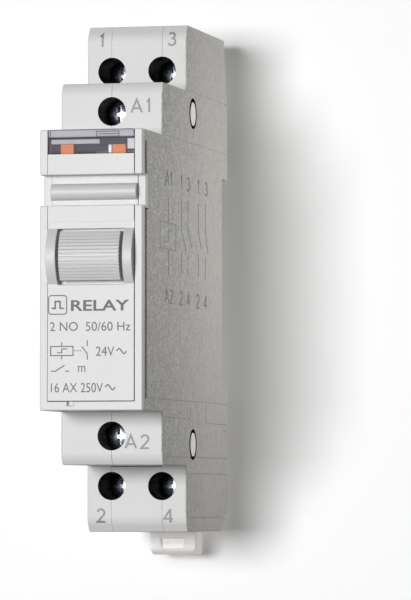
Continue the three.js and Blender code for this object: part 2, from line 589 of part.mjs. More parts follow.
function terminalScrew(t) {
  const head = rodAlongY(SCREW_HEAD_RADIUS, 0, [t.headY, t.headY + t.headLength], 0, ROUND);
  const shank = rodAlongY(SHANK_RADIUS, 0, [t.headY + 1, t.shankEndY], 0, ROUND);
  const { slotReach, crossReach, halfWidth, depth } = SCREW_RECESS;
  const recessY = [t.headY - OPEN, t.headY + depth];
  const slot = block([-slotReach, slotReach], recessY, [-halfWidth, halfWidth]);
  const cross = block([-halfWidth, halfWidth], recessY, [-crossReach, crossReach]);
  return cut(join(head, shank), slot, cross);
}

function clampCage(t) {
  const outer = block([-CAGE_HALF_WIDTH, CAGE_HALF_WIDTH], [t.cageFrontY, t.cageBackY],
    [-t.cageHalfLength, t.cageHalfLength]);
  const innerHalf = CAGE_HALF_WIDTH - CAGE_WALL;
  const opening = block([-innerHalf, innerHalf], [t.cageFrontY + t.cageTop, t.cageFloorY], [-5, 5]);
  const thread = rodAlongY(SHANK_RADIUS + THREAD_CLEARANCE, 0,
    [t.cageFrontY - OPEN, t.cageFrontY + t.cageTop + OPEN], 0);
  return cut(outer, opening, thread);
}

function addTerminal(label, t, x, z) {
  const place = new THREE.Group();
  place.position.set(x, 0, z);
  assembly.add(place);
  addPart(`terminal_screw_${label}`, terminalScrew(t), materials.screw(), place);
  addPart(`clamp_cage_${label}`, clampCage(t), materials.cage(), place);
}

const STRIP_END_Z = 36.8;
const FIXED_STRIP_Y = [-18.65, -17.85];

// From an upper contact terminal, forward over the coil and down to the fixed contact.
function upperStrip(x) {
  const t = CONTACT_TERMINAL;
  const turnZ = 24.9;
  const thickness = 0.8;
  return slab([
    [t.stripFrontY, STRIP_END_Z], [t.stripFrontY, turnZ], [FIXED_STRIP_Y[0], turnZ],
    [FIXED_STRIP_Y[0], 3], [FIXED_STRIP_Y[1], 3], [FIXED_STRIP_Y[1], turnZ - thickness],
    [t.stripBackY, turnZ - thickness], [t.stripBackY, STRIP_END_Z],
  ], [x - STRIP_HALF_WIDTH, x + STRIP_HALF_WIDTH]);
}

// From a lower contact terminal, forward under the coil to the moving blade's foot.
function lowerStrip(x) {
  const t = CONTACT_TERMINAL;
  const [low, high] = [-21, -20.2];
  return slab([
    [t.stripFrontY, -STRIP_END_Z], [t.stripBackY, -STRIP_END_Z], [t.stripBackY, high],
    [BLADE_ROOT.y - 0.5, high], [BLADE_ROOT.y - 0.5, low], [t.stripFrontY, low],
  ], [x - STRIP_HALF_WIDTH, x + STRIP_HALF_WIDTH]);
}

function coilStrip(end) {
  const t = COIL_TERMINAL;
  return block([-COIL_STRIP.halfWidth, COIL_STRIP.halfWidth], [t.stripFrontY, t.stripBackY],
    [end * COIL_STRIP.innerZ, end * COIL_STRIP.outerZ]);
}

// ---- Magnet ---------------------------------------------------------------------------------

const COIL_LOW_Z = -12;
const COIL_HIGH_Z = 8;
const FLANGE = 1;
const CORE_RADIUS = 2.2;

function coilBobbin() {
  const flangeX = [-6.2, 6.2];
  const flangeY = [COIL_AXIS_Y - 5.8, COIL_AXIS_Y + 5.8];
  const body = join(
    block(flangeX, flangeY, [COIL_LOW_Z, COIL_LOW_Z + FLANGE]),
    block(flangeX, flangeY, [COIL_HIGH_Z - FLANGE, COIL_HIGH_Z]),
    rodAlongZ(3, 0, COIL_AXIS_Y, [COIL_LOW_Z + 0.5, COIL_HIGH_Z - 0.5]));
  return cut(body, rodAlongZ(CORE_RADIUS + 0.15, 0, COIL_AXIS_Y, [COIL_LOW_Z - 1, COIL_HIGH_Z + 1]));
}

function coilWinding() {
  const zRange = [COIL_LOW_Z + FLANGE + 0.1, COIL_HIGH_Z - FLANGE - 0.1];
  const wound = rodAlongZ(5.6, 0, COIL_AXIS_Y, zRange, ROUND);
  return cut(wound, rodAlongZ(3.2, 0, COIL_AXIS_Y, [COIL_LOW_Z, COIL_HIGH_Z], ROUND));
}

function magnetCore() {
  return join(
    rodAlongZ(CORE_RADIUS, 0, COIL_AXIS_Y, [-14.2, 8.6]),
    rodAlongZ(3.2, 0, COIL_AXIS_Y, [COIL_HIGH_Z + 0.1, 9.2], ROUND));
}

function magnetYoke() {
  const outline = [
    [-14, -13.8], [-1.7, -13.8], [-1.7, 10.5], [-3.3, 10.5], [-3.3, -12.2], [-14, -12.2],
  ];
  const hole = rodAlongZ(CORE_RADIUS + 0.15, 0, COIL_AXIS_Y, [-15, -11]);
  return cut(slab(outline, [-5, 5]), hole);
}

// The hinged iron plate over the core, with an arm forward and two tails for the fork.
function armature() {
  const plateZ = [ARMATURE_HINGE.z, ARMATURE_HINGE.z + 1.4];
  const tails = [1, -1].map((side) =>
    block([side * FORK.inner, side * FORK.outer], [-28.5, -27.3], [-0.5, plateZ[1]]));
  const ears = [1, -1].map((side) =>
    block([side * 1.2, side * 2.1], [-28.5, -26.4], [PAWL_HINGE.z - 1.3, PAWL_HINGE.z + 1.2]));
  const body = join(
    block([-5, 5], [-17, -1.8], plateZ), block([-2, 2], [-25.5, -16.5], plateZ),
    block([-FORK.outer, FORK.outer], [-26.4, -25.2], plateZ), ...ears,
    ...[1, -1].map((side) => block([side * 1.9, side * FORK.outer], [-28.5, -26], plateZ)),
    ...tails);
  return cut(body, rodAlongX(0.45, [-1.8, 1.8], PAWL_HINGE.y, PAWL_HINGE.z));
}

// The pawl hangs from the armature's ears and leans towards one horn of the rocker.
function pawl() {
  const eye = rodAlongX(0.95, [-1, 1], 0, 0);
  const stem = slab([[-0.6, 0.2], [-0.35, -6.6], [0.35, -6.6], [0.6, 0.2]], [-1, 1]);
  const stubs = rodAlongX(0.35, [-1.7, 1.7], 0, 0, 12);
  return join(eye, stem, stubs);
}

// ---- Rocker and contacts ----------------------------------------------------------------------

function rocker() {
  const hub = rodAlongX(1.9, [-2, 2], 0, 0);
  const horns = slab(
    [[-3.7, 4.3], [-3.9, 3.4], [-1, -1.2], [1, -1.2], [3.9, 3.4],
      [3.7, 4.3], [2.9, 4.3], [0, 1.4], [-2.9, 4.3]]
      .reverse(), [-1.6, 1.6]);
  const flagArm = slab([[-5.2, -0.5], [0, -1.2], [0, 1.2], [-5.2, 0.5]], [-2, 2]);
  const bladeArm = slab([[0.6, 1], [-1, -0.6], [3, -4], [4, -3]], [-2, 2]);
  const tail = slab([[-1.2, 0], [-0.4, -6.2], [0.4, -6.2], [1.2, 0]], [-1, 1]);
  const flagPins = rodAlongX(0.6, [-5.2, 5.2], -5, 0, 12);
  const bladeBar = rodAlongX(0.6, [-6.2, 6.2], 3.5, -3.5, 12);
  const body = join(hub, horns, flagArm, bladeArm, tail, flagPins, bladeBar);
  return cut(body, rodAlongX(0.85, [-3, 3], 0, 0));
}

function detentSpring() {
  const { y, z } = ROCKER_AXIS;
  const apex = z - 6.6;
  return slab([
    [y - 5, apex - 2], [y - 5, apex - 2.3], [y + 5, apex - 2.3], [y + 5, apex - 2],
    [y + 1.2, apex - 1.7], [y, apex - 0.1], [y - 1.2, apex - 1.7],
  ], [-1.3, 1.3]);
}

function contactBlade(side) {
  const x = side * BLADE_X;
  const { y, z } = BLADE_ROOT;
  return join(
    block([x - 1.2, x + 1.2], [y - 0.15, y + 0.2], [z, 7.5]),
    block([x - 1.2, x + 1.2], [y - 0.3, y + 0.3], [z - 0.6, z + 0.6]));
}

const CONTACT_Z = 5;
const contactRivet = (side, yRange) => rodAlongY(1.3, side * BLADE_X, yRange, CONTACT_Z);

function joiningPin(end) {
  const { y, z } = JOINING_PIN;
  const headInnerX = HALF_WIDTH - PIN_HEAD_LENGTH;
  const heads = [1, -1].map((side) =>
    rodAlongX(PIN_HEAD_RADIUS, [side * headInnerX, side * (HALF_WIDTH - 0.1)],
      y + PIN_HEAD_SETBACK, end * z, ROUND));
  return join(rodAlongX(PIN_SHANK_RADIUS, [-headInnerX - 0.1, headInnerX + 0.1], y, end * z), ...heads);
}

// A fine wire from a coil terminal's strip, round the side, to the bobbin's flange.
function coilLead(side, end, flangeZ) {
  const lane = side * 6.95;
  const stripY = COIL_TERMINAL.stripBackY + 0.6;
  const route = [
    [side * 1.2, stripY, end * 20.6], [side * 3.2, stripY + 0.6, end * 20.5],
    [side * 6, stripY + 2, end * 19.6], [lane, stripY + 5, end * 17.5],
    [lane, -17, end * 12], [lane, COIL_AXIS_Y, flangeZ],
  ].map((point) => new THREE.Vector3(...point));
  return toSolid(wireAlong(new THREE.CatmullRomCurve3(route), 0.22, 22));
}

// ---- Rail clip --------------------------------------------------------------------------------

function railClip() {
  const outline = [
    [-1, -18.4], [-1, -45.5], [0.2, -46.2], [4.4, -46.2], [5, -45.6], [5, -42.8], [3.6, -42.8],
    [3.6, -17], [2.4, -15.8], [1.3, -15.8], [1.3, -18.4],
  ];
  const body = slab(outline, [-3.9, 3.9]);
  const springSlot = (side) => block([side * 2.1, side * 2.9], [-2, 6], [-37, -22]);
  const driverSlot = block([-1.9, 1.9], [-2, -0.5], [-45, -43.5]);
  return cut(body, springSlot(1), springSlot(-1), driverSlot);
}

// ---- Assembly ---------------------------------------------------------------------------------

addPart('right_shell', halfShell(1), materials.housing());
addPart('left_shell', halfShell(-1), materials.housing());
addPart('top_divider', terminalDivider(1), materials.housing());
addPart('bottom_divider', terminalDivider(-1), materials.housing());
addPart('front_frame', frontFrame(), materials.front());
addPart('front_plate', frontPlate(), materials.front());
addPart('indicator_window', indicatorWindow(), materials.window());
addPart('manual_button', manualButton(), materials.button());
addPart('button_spring', buttonSpring(), materials.spring());
addPart('rail_clip', railClip(), materials.white());
addPart('joining_pin_top', joiningPin(1), materials.white());
addPart('joining_pin_bottom', joiningPin(-1), materials.white());

addTerminal('1', CONTACT_TERMINAL, -TERMINAL_X, CONTACT_SCREW_Z);
addTerminal('3', CONTACT_TERMINAL, TERMINAL_X, CONTACT_SCREW_Z);
addTerminal('2', CONTACT_TERMINAL, -TERMINAL_X, -CONTACT_SCREW_Z);
addTerminal('4', CONTACT_TERMINAL, TERMINAL_X, -CONTACT_SCREW_Z);
addTerminal('a1', COIL_TERMINAL, 0, COIL_SCREW_Z);
addTerminal('a2', COIL_TERMINAL, 0, -COIL_SCREW_Z);
addPart('coil_strip_a1', coilStrip(1), materials.strip());
addPart('coil_strip_a2', coilStrip(-1), materials.strip());
addPart('coil_lead_a1', coilLead(1, 1, 7.4), materials.copper());
addPart('coil_lead_a2', coilLead(-1, -1, -11.5), materials.copper());

addPart('coil_bobbin', coilBobbin(), materials.bobbin());
addPart('coil_winding', coilWinding(), materials.copper());
addPart('magnet_core', magnetCore(), materials.iron());
addPart('magnet_yoke', magnetYoke(), materials.iron());
addPart('armature', armature(), materials.iron());
addPart('rocker_axle', rodAlongX(0.75, [-7.9, 7.9], ROCKER_AXIS.y, ROCKER_AXIS.z), materials.spring());
addPart('detent_spring', detentSpring(), materials.spring());
addPart('rocker', rocker(), materials.lever(), tiltedGroup(ROCKER_AXIS, ROCKER_REST_TILT));
addPart('pawl', pawl(), materials.lever(), tiltedGroup(PAWL_HINGE, PAWL_REST_TILT));

for (const [sideName, side, upper, lower] of [['left', -1, '1', '2'], ['right', 1, '3', '4']]) {
  addPart(`indicator_flag_${sideName}`, indicatorFlag(side), materials.flag());
  addPart(`contact_strip_${upper}`, upperStrip(side * TERMINAL_X), materials.strip());
  addPart(`contact_strip_${lower}`, lowerStrip(side * TERMINAL_X), materials.strip());
  addPart(`contact_blade_${sideName}`, contactBlade(side), materials.strip());
  addPart(`moving_contact_${sideName}`, contactRivet(side, [-23.65, -23]), materials.silver());
  addPart(`fixed_contact_${sideName}`, contactRivet(side, [-19.35, -18.7]), materials.silver());
}

export default assembly;
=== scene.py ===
"""One-module step relay for a 35 mm rail: looks, in metres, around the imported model.

+X is right as seen from the front, +Y goes back into the rail, +Z is up.
"""

import json
import math

import bmesh
import bpy
from mathutils import Matrix, Vector
from mathutils.bvhtree import BVHTree

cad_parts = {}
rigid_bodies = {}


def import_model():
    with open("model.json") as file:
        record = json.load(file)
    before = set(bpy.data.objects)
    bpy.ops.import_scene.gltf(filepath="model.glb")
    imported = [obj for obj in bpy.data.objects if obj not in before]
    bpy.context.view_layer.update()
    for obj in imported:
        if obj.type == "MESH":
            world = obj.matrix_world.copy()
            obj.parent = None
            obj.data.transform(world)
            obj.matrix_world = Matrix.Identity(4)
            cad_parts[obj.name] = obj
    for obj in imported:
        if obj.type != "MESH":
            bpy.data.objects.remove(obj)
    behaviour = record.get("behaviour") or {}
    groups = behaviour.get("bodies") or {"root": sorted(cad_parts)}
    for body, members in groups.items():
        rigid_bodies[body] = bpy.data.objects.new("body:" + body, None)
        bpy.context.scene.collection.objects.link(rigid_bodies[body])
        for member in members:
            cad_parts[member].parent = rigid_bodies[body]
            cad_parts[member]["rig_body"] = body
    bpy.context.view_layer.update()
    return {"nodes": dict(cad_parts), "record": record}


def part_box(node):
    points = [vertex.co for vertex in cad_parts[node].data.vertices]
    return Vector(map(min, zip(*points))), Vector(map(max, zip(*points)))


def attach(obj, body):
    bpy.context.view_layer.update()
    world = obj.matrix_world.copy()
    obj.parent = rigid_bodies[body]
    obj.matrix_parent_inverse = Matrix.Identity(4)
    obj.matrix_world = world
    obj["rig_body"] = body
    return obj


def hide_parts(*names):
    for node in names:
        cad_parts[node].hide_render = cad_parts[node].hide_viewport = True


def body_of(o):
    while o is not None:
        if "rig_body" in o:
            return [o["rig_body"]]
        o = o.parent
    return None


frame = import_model()
nodes = frame["nodes"]
slots = {row["node"]: row["material_slot"] for row in frame["record"]["subparts"]}

MM = 0.001
WELD_DISTANCE = 0.002 * MM       # corners closer than this are one corner
FLAT_ANGLE = math.radians(1)     # faces that bend less than this are one face


# ---- Places read from the frame ------------------------------------------------------------

def low(node):
    return Vector(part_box(node)[0])


def high(node):
    return Vector(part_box(node)[1])


def middle(node):
    return (low(node) + high(node)) / 2


FRONT_Y = low("front_frame").y
SIDE_X = high("right_shell").x
REAR_FACE_Y = low("top_divider").y
CONTACT_TERMINALS = ("1", "2", "3", "4")
COIL_TERMINALS = ("a1", "a2")
TERMINALS = CONTACT_TERMINALS + COIL_TERMINALS

WELL_RADIUS = 2.35 * MM
WELL_REACH = 1.02 * WELL_RADIUS
PIN_RECESS_RADIUS = 3.2 * MM
PIN_RECESS_INNER_X = 7.2 * MM
SIDE_SKIN = 0.03 * MM            # faces this close to the side wall are the wall itself
MID_FACE_Y = -42 * MM


# ---- Node materials ---------------------------------------------------------------------------

DEEP_SHADE = (0.03, 0.03, 0.035)


class Surface:
    """A Principled material that is built up in steps."""

    def __init__(self, name, colour, roughness, metallic=0.0):
        self.material = bpy.data.materials.new(name)
        self.material.use_nodes = True
        self.tree = self.material.node_tree
        self.shader = self.tree.nodes["Principled BSDF"]
        self.colour = colour
        self.roughness = roughness
        self.shader.inputs["Base Color"].default_value = (*colour, 1)
        self.shader.inputs["Roughness"].default_value = roughness
        self.shader.inputs["Metallic"].default_value = metallic
        self.normal = None

    def add(self, kind, **settings):
        node = self.tree.nodes.new(kind)
        for key, value in settings.items():
            setattr(node, key, value)
        return node

    def link(self, output, node, name):
        self.tree.links.new(output, node.inputs[name])

    def place(self, stretch=(1, 1, 1)):
        """The row frame's coordinates, in metres."""
        coordinates = self.add("ShaderNodeTexCoord")
        mapping = self.add("ShaderNodeMapping")
        mapping.inputs["Scale"].default_value = stretch
        self.link(coordinates.outputs["Object"], mapping, "Vector")
        return mapping.outputs["Vector"]

    def noise(self, size_mm, detail=3.0, rough=0.55, stretch=(1, 1, 1)):
        texture = self.add("ShaderNodeTexNoise")
        texture.inputs["Scale"].default_value = 1 / (size_mm * MM)
        texture.inputs["Detail"].default_value = detail
        texture.inputs["Roughness"].default_value = rough
        self.link(self.place(stretch), texture, "Vector")
        return texture.outputs["Fac"]

    def edges(self, radius_mm):
        """High along convex edges, from how far the rounded normal turns: the mask for painted highlights
        along edges.
        """
        rounded = self.add("ShaderNodeBevel", samples=4)
        rounded.inputs["Radius"].default_value = radius_mm * MM
        geometry = self.add("ShaderNodeNewGeometry")
        product = self.add("ShaderNodeVectorMath", operation="DOT_PRODUCT")
        self.tree.links.new(rounded.outputs["Normal"], product.inputs[0])
        self.tree.links.new(geometry.outputs["Normal"], product.inputs[1])
        return self.ramp(product.outputs["Value"], 1, 0, 0.75, 0.995)

    def crevice_shade(self, reach_mm):
        """High where neighbouring walls close a place in: the mask for painted shade in hollows and seams.
        """
        open_sky = self.add("ShaderNodeAmbientOcclusion", samples=6)
        open_sky.inputs["Distance"].default_value = reach_mm * MM
        return self.ramp(open_sky.outputs["AO"], 1, 0, 0.05, 0.5)

    def times(self, first, second):
        product = self.add("ShaderNodeMath", operation="MULTIPLY")
        self.tree.links.new(first, product.inputs[0])
        self.tree.links.new(second, product.inputs[1])
        return product.outputs[0]

    def sideways(self):
        """High on walls that face left or right, and lower towards the rail: the mask for the side walls'
        darker grain, partly painted shade.
        """
        coordinates = self.add("ShaderNodeTexCoord")
        facing = self.add("ShaderNodeSeparateXYZ")
        self.link(coordinates.outputs["Normal"], facing, "Vector")
        absolute = self.add("ShaderNodeMath", operation="ABSOLUTE")
        self.tree.links.new(facing.outputs["X"], absolute.inputs[0])
        depth = self.add("ShaderNodeSeparateXYZ")
        self.link(coordinates.outputs["Object"], depth, "Vector")
        fade = self.ramp(depth.outputs["Y"], 1, 0.3, -0.045, -0.01)
        return self.times(absolute.outputs[0], fade)

    def ramp(self, value, start, end, from_low=0.3, from_high=0.7):
        """Maps the values from_low..from_high to the range start..end."""
        mapped = self.add("ShaderNodeMapRange")
        mapped.inputs["From Min"].default_value = from_low
        mapped.inputs["From Max"].default_value = from_high
        mapped.inputs["To Min"].default_value = start
        mapped.inputs["To Max"].default_value = end
        self.link(value, mapped, "Value")
        return mapped.outputs["Result"]

    def tint(self, amount, other):
        """Mixes the colour towards another by an amount from 0 to 1."""
        source = self.shader.inputs["Base Color"]
        mix = self.add("ShaderNodeMix", data_type="RGBA")
        if source.is_linked:
            self.tree.links.new(source.links[0].from_socket, mix.inputs[6])
        else:
            mix.inputs[6].default_value = (*self.colour, 1)
        mix.inputs[7].default_value = (*other, 1)
        self.link(amount, mix, "Factor")
        self.tree.links.new(mix.outputs[2], source)
        return self

    def vary_colour(self, value, other, amount=1.0):
        return self.tint(self.ramp(value, 0, amount), other)

    def vary_roughness(self, value, spread):
        result = self.ramp(value, self.roughness - spread, self.roughness + spread)
        self.link(result, self.shader, "Roughness")
        return self

    def bump(self, value, height_mm, strength=1.0):
        node = self.add("ShaderNodeBump")
        node.inputs["Distance"].default_value = height_mm * MM
        node.inputs["Strength"].default_value = strength
        self.link(value, node, "Height")
        if self.normal is not None:
            self.link(self.normal, node, "Normal")
        self.normal = node.outputs["Normal"]
        self.link(self.normal, self.shader, "Normal")
        return self


def housing_plastic():
    """Light grey plastic with a fine spark-erosion speckle and faint clouds, painted highlights along edges,
    painted shade in hollows and seams, and on the side walls a darker grain that is partly painted shade.
    """
    s = Surface("housing_plastic", (0.70, 0.70, 0.69), 0.6)
    speckle = s.noise(0.42, 4, 0.75)
    blotch = s.noise(1.6, 3, 0.6)
    cloud = s.noise(11, 2, 0.5)
    s.vary_colour(speckle, (0.66, 0.66, 0.65), 0.5)
    s.vary_colour(cloud, (0.73, 0.73, 0.72), 0.4)
    # Darker grain on the side walls, strongest towards the front: the spark-erosion grain, partly painted
    # shade.
    side_grain_and_shade = s.sideways()
    s.tint(s.times(s.ramp(speckle, 0, 1, 0.44, 0.58), side_grain_and_shade), (0.33, 0.33, 0.33))
    s.tint(s.times(s.ramp(blotch, 0, 0.8, 0.45, 0.65), side_grain_and_shade), (0.44, 0.44, 0.44))
    # Painted highlights along convex edges.
    s.tint(s.ramp(s.edges(0.25), 0, 0.6, 0, 1), (0.80, 0.80, 0.80))
    # Painted shade in hollows and seams.
    s.tint(s.ramp(s.crevice_shade(1.0), 0, 0.7, 0, 1), DEEP_SHADE)
    s.vary_roughness(speckle, 0.1)
    s.bump(speckle, 0.02, 0.5)
    return s.material


def front_plastic(name, crevice):
    """Finer, cleaner plastic of the front parts, with painted highlights along edges and painted shade in
    hollows and seams.
    """
    s = Surface(name, (0.61, 0.61, 0.61), 0.45)
    fine = s.noise(0.2, 3, 0.6)
    cloud = s.noise(5, 2, 0.5)
    s.vary_colour(fine, (0.58, 0.58, 0.58), 0.35)
    s.vary_colour(cloud, (0.64, 0.64, 0.64), 0.4)
    # Painted highlights along convex edges.
    s.tint(s.ramp(s.edges(0.2), 0, 0.5, 0, 1), (0.74, 0.74, 0.74))
    # Painted shade in hollows and seams; crevice sets how dark it gets.
    s.tint(s.ramp(s.crevice_shade(0.8), 0, crevice, 0, 1), DEEP_SHADE)
    s.vary_roughness(fine, 0.07)
    s.bump(fine, 0.006, 0.5)
    return s.material


def simple(name, colour, roughness, other, size_mm=0.4, height_mm=0.008, shine=0.5):
    """A moulded plastic with a soft grain between two close colours."""
    s = Surface(name, colour, roughness)
    s.shader.inputs["Specular IOR Level"].default_value = shine
    grain = s.noise(size_mm, 3, 0.6)
    s.vary_colour(grain, other, 0.5)
    s.vary_roughness(grain, 0.08)
    s.bump(grain, height_mm, 0.5)
    return s.material


def worked_metal(name, colour, roughness, stretch):
    """Metal with fine working marks along one direction, faint stains and painted highlights along edges."""
    s = Surface(name, colour, roughness, 1.0)
    lines = s.noise(0.25, 3, 0.7, stretch)
    stains = s.noise(1.2, 3, 0.6)
    s.vary_colour(stains, tuple(0.72 * c for c in colour), 0.5)
    # Painted highlights along convex edges.
    s.tint(s.ramp(s.edges(0.1), 0, 0.6, 0, 1), tuple(min(1.0, 1.15 * c) for c in colour))
    s.vary_roughness(lines, 0.1)
    s.bump(lines, 0.008, 0.4)
    return s.material


def window_plastic():
    """Clear plastic with a breath of lilac and a faint haze."""
    s = Surface("window_plastic", (0.62, 0.60, 0.70), 0.12)
    s.shader.inputs["Alpha"].default_value = 0.06
    s.shader.inputs["Specular IOR Level"].default_value = 0.12
    haze = s.noise(3, 3, 0.6)
    s.vary_roughness(haze, 0.04)
    s.bump(haze, 0.01, 0.2)
    return s.material


def clip_plastic():
    """Milky natural plastic with a faint painted glow in place of the light that soaks into it, and painted
    shade in hollows and seams.
    """
    s = Surface("white_plastic", (0.88, 0.86, 0.85), 0.42)
    # Painted glow: a faint emission lights the plastic from within.
    s.shader.inputs["Emission Color"].default_value = (1, 0.965, 0.95, 1)
    s.shader.inputs["Emission Strength"].default_value = 0.16
    flow = s.noise(2.2, 3, 0.6, (1, 1, 0.3))
    s.vary_colour(flow, (0.78, 0.75, 0.74), 0.5)
    # Painted shade in hollows and seams.
    s.tint(s.ramp(s.crevice_shade(0.6), 0, 0.4, 0, 1), (0.45, 0.40, 0.39))
    s.vary_roughness(flow, 0.07)
    s.bump(flow, 0.02, 0.3)
    return s.material


materials = {
    "housing_plastic": housing_plastic(),
    "front_plastic": front_plastic("front_plastic", 0.42),
    "window_plastic": window_plastic(),
    "flag_plastic": simple("flag_plastic", (0.82, 0.23, 0.03), 0.5, (0.66, 0.14, 0.03), shine=0.12),
    "white_plastic": clip_plastic(),
    "dark_plastic": simple("dark_plastic", (0.02, 0.022, 0.028), 0.5, (0.035, 0.037, 0.045)),
    "bobbin_plastic": simple("bobbin_plastic", (0.03, 0.05, 0.09), 0.5, (0.05, 0.07, 0.11)),
    "screw_steel": worked_metal("screw_steel", (0.24, 0.25, 0.29), 0.24, (1, 1, 1)),
    "cage_steel": worked_metal("cage_steel", (0.62, 0.63, 0.65), 0.34, (1, 0.1, 1)),
    "contact_brass": worked_metal("contact_brass", (0.70, 0.49, 0.20), 0.32, (1, 1, 0.1)),
    "copper_wire": worked_metal("copper_wire", (0.60, 0.24, 0.10), 0.3, (0.2, 0.2, 3)),
    "magnet_iron": worked_metal("magnet_iron", (0.42, 0.43, 0.45), 0.42, (1, 1, 0.2)),
    "contact_silver": worked_metal("contact_silver", (0.85, 0.85, 0.84), 0.25, (1, 1, 1)),
    "spring_steel": worked_metal("spring_steel", (0.60, 0.61, 0.63), 0.3, (1, 0.2, 1)),
}

# Surfaces of details that have no slot of their own.
# The button keeps the painted edge highlights but has no painted shade in its hollows.
button_plastic = front_plastic("button_plastic", 0.0)
# Near-black painted shade for the walls of the screw wells, the pins' recesses and the pins' sides.
well_shade = simple("well_shade", (0.005, 0.006, 0.009), 0.5, (0.010, 0.011, 0.015), 0.8, 0.02, shine=0.06)
print_ink = simple("print_ink", (0.125, 0.115, 0.12), 0.6, (0.17, 0.16, 0.165), 0.15, 0.004)
# Moulded marks are the housing's own plastic: these darker colours paint the shade that they catch.
raised_label = simple("raised_label", (0.27, 0.265, 0.27), 0.55, (0.34, 0.335, 0.34), 0.2, 0.006)
side_marking = simple("side_marking", (0.20, 0.20, 0.195), 0.6, (0.30, 0.30, 0.29), 0.2, 0.006)
side_line = simple("side_line", (0.34, 0.34, 0.33), 0.6, (0.44, 0.44, 0.43), 0.2, 0.006)
lilac_plastic = simple("lilac_plastic", (0.40, 0.38, 0.44), 0.35, (0.46, 0.44, 0.50), 1.2, 0.01, 0.12)
# Near-black sheets that paint the shade inside the window.
window_painted_shade = simple("window_painted_shade", (0.014, 0.014, 0.020), 0.5, (0.026, 0.026, 0.034), 0.6, 0.01, shine=0.04)
lilac_pale = simple("lilac_pale", (0.62, 0.60, 0.67), 0.35, (0.55, 0.53, 0.60), 1.2, 0.01, 0.12)
lilac_dark = simple("lilac_dark", (0.13, 0.12, 0.15), 0.4, (0.18, 0.17, 0.21), 0.8, 0.01, 0.12)


# ---- Pieces -----------------------------------------------------------------------------------

def set_material(obj, surface):
    obj.data.materials.clear()
    obj.data.materials.append(surface)


def smooth(obj):
    for polygon in obj.data.polygons:
        polygon.use_smooth = True


def weigh_normals(obj):
    """Keeps large faces flat beside their rounded edges."""
    weighted = obj.modifiers.new("weighted", "WEIGHTED_NORMAL")
    weighted.weight = 100
    weighted.keep_sharp = True


def soften(obj, width_mm, segments=2, angle=32):
    """Rounds a faceted solid's edges: coplanar triangles are joined first."""
    weld = obj.modifiers.new("weld", "WELD")
    weld.merge_threshold = WELD_DISTANCE
    flat = obj.modifiers.new("flat", "DECIMATE")
    flat.decimate_type = "DISSOLVE"
    flat.angle_limit = FLAT_ANGLE
    bevel = obj.modifiers.new("bevel", "BEVEL")
    bevel.width = width_mm * MM
    bevel.segments = segments
    bevel.limit_method = "ANGLE"
    bevel.angle_limit = math.radians(angle)
    weigh_normals(obj)
    smooth(obj)


def new_piece(name, mesh, slot, *surfaces, body="housing"):
    """Turns a bmesh into an object that rides on a body."""
    data = bpy.data.meshes.new(name)
    mesh.to_mesh(data)
    mesh.free()
    obj = bpy.data.objects.new(name, data)
    bpy.context.scene.collection.objects.link(obj)
    for surface in surfaces:
        data.materials.append(surface)
    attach(obj, body)
    return obj


def solid_of(node):
    """A node's solid as a bmesh, with its corners joined and its flat faces whole."""
    mesh = bmesh.new()
    mesh.from_mesh(nodes[node].data)
    bmesh.ops.remove_doubles(mesh, verts=mesh.verts, dist=WELD_DISTANCE)
    bmesh.ops.dissolve_limit(mesh, angle_limit=FLAT_ANGLE, verts=mesh.verts, edges=mesh.edges)
    return mesh


def tree_of(node):
    mesh = bmesh.new()
    mesh.from_mesh(nodes[node].data)
    tree = BVHTree.FromBMesh(mesh)
    mesh.free()
    return tree


trees = {name: tree_of(name) for name in nodes}
SEAM_GAP = 0.35 * MM
THIN_FACE = 0.3 * MM
RAY_START = 0.02 * MM
FACET_ANGLE = math.radians(28)


def face_width(face):
    longest = max(edge.calc_length() for edge in face.edges)
    return face.calc_area() / longest


def edge_weight(edge, node, seam_share):
    """1 on an open outer edge, seam_share beside another part, 0 where it stays sharp."""
    if not edge.is_manifold or not edge.is_convex:
        return 0
    if edge.calc_face_angle(0) < FACET_ANGLE:
        return 0
    if min(face_width(face) for face in edge.link_faces) < THIN_FACE:
        return 0
    outward = (edge.link_faces[0].normal + edge.link_faces[1].normal).normalized()
    centre = (edge.verts[0].co + edge.verts[1].co) / 2
    start = centre + outward * RAY_START
    if any(tree.ray_cast(start, outward)[0] is not None for tree in trees.values()):
        return 0
    for other, tree in trees.items():
        if other != node and tree.find_nearest(centre, SEAM_GAP)[0] is not None:
            return seam_share
    return 1


CREASE_ANGLES = (math.radians(30), math.radians(42))
CREASE_LENGTH = 3 * MM
SAME_PLANE = 0.004 * MM


def is_crease(edge):
    """The long bend where a step's face starts to lean back."""
    bend = edge.calc_face_angle(0)
    return CREASE_ANGLES[0] < bend < CREASE_ANGLES[1] and edge.calc_length() > CREASE_LENGTH


def is_curved(face):
    """Part of a round surface: it meets a neighbour at a shallow angle."""
    bends = [edge.calc_face_angle(0) for edge in face.edges]
    return any(FLAT_ANGLE < bend < FACET_ANGLE for bend in bends)


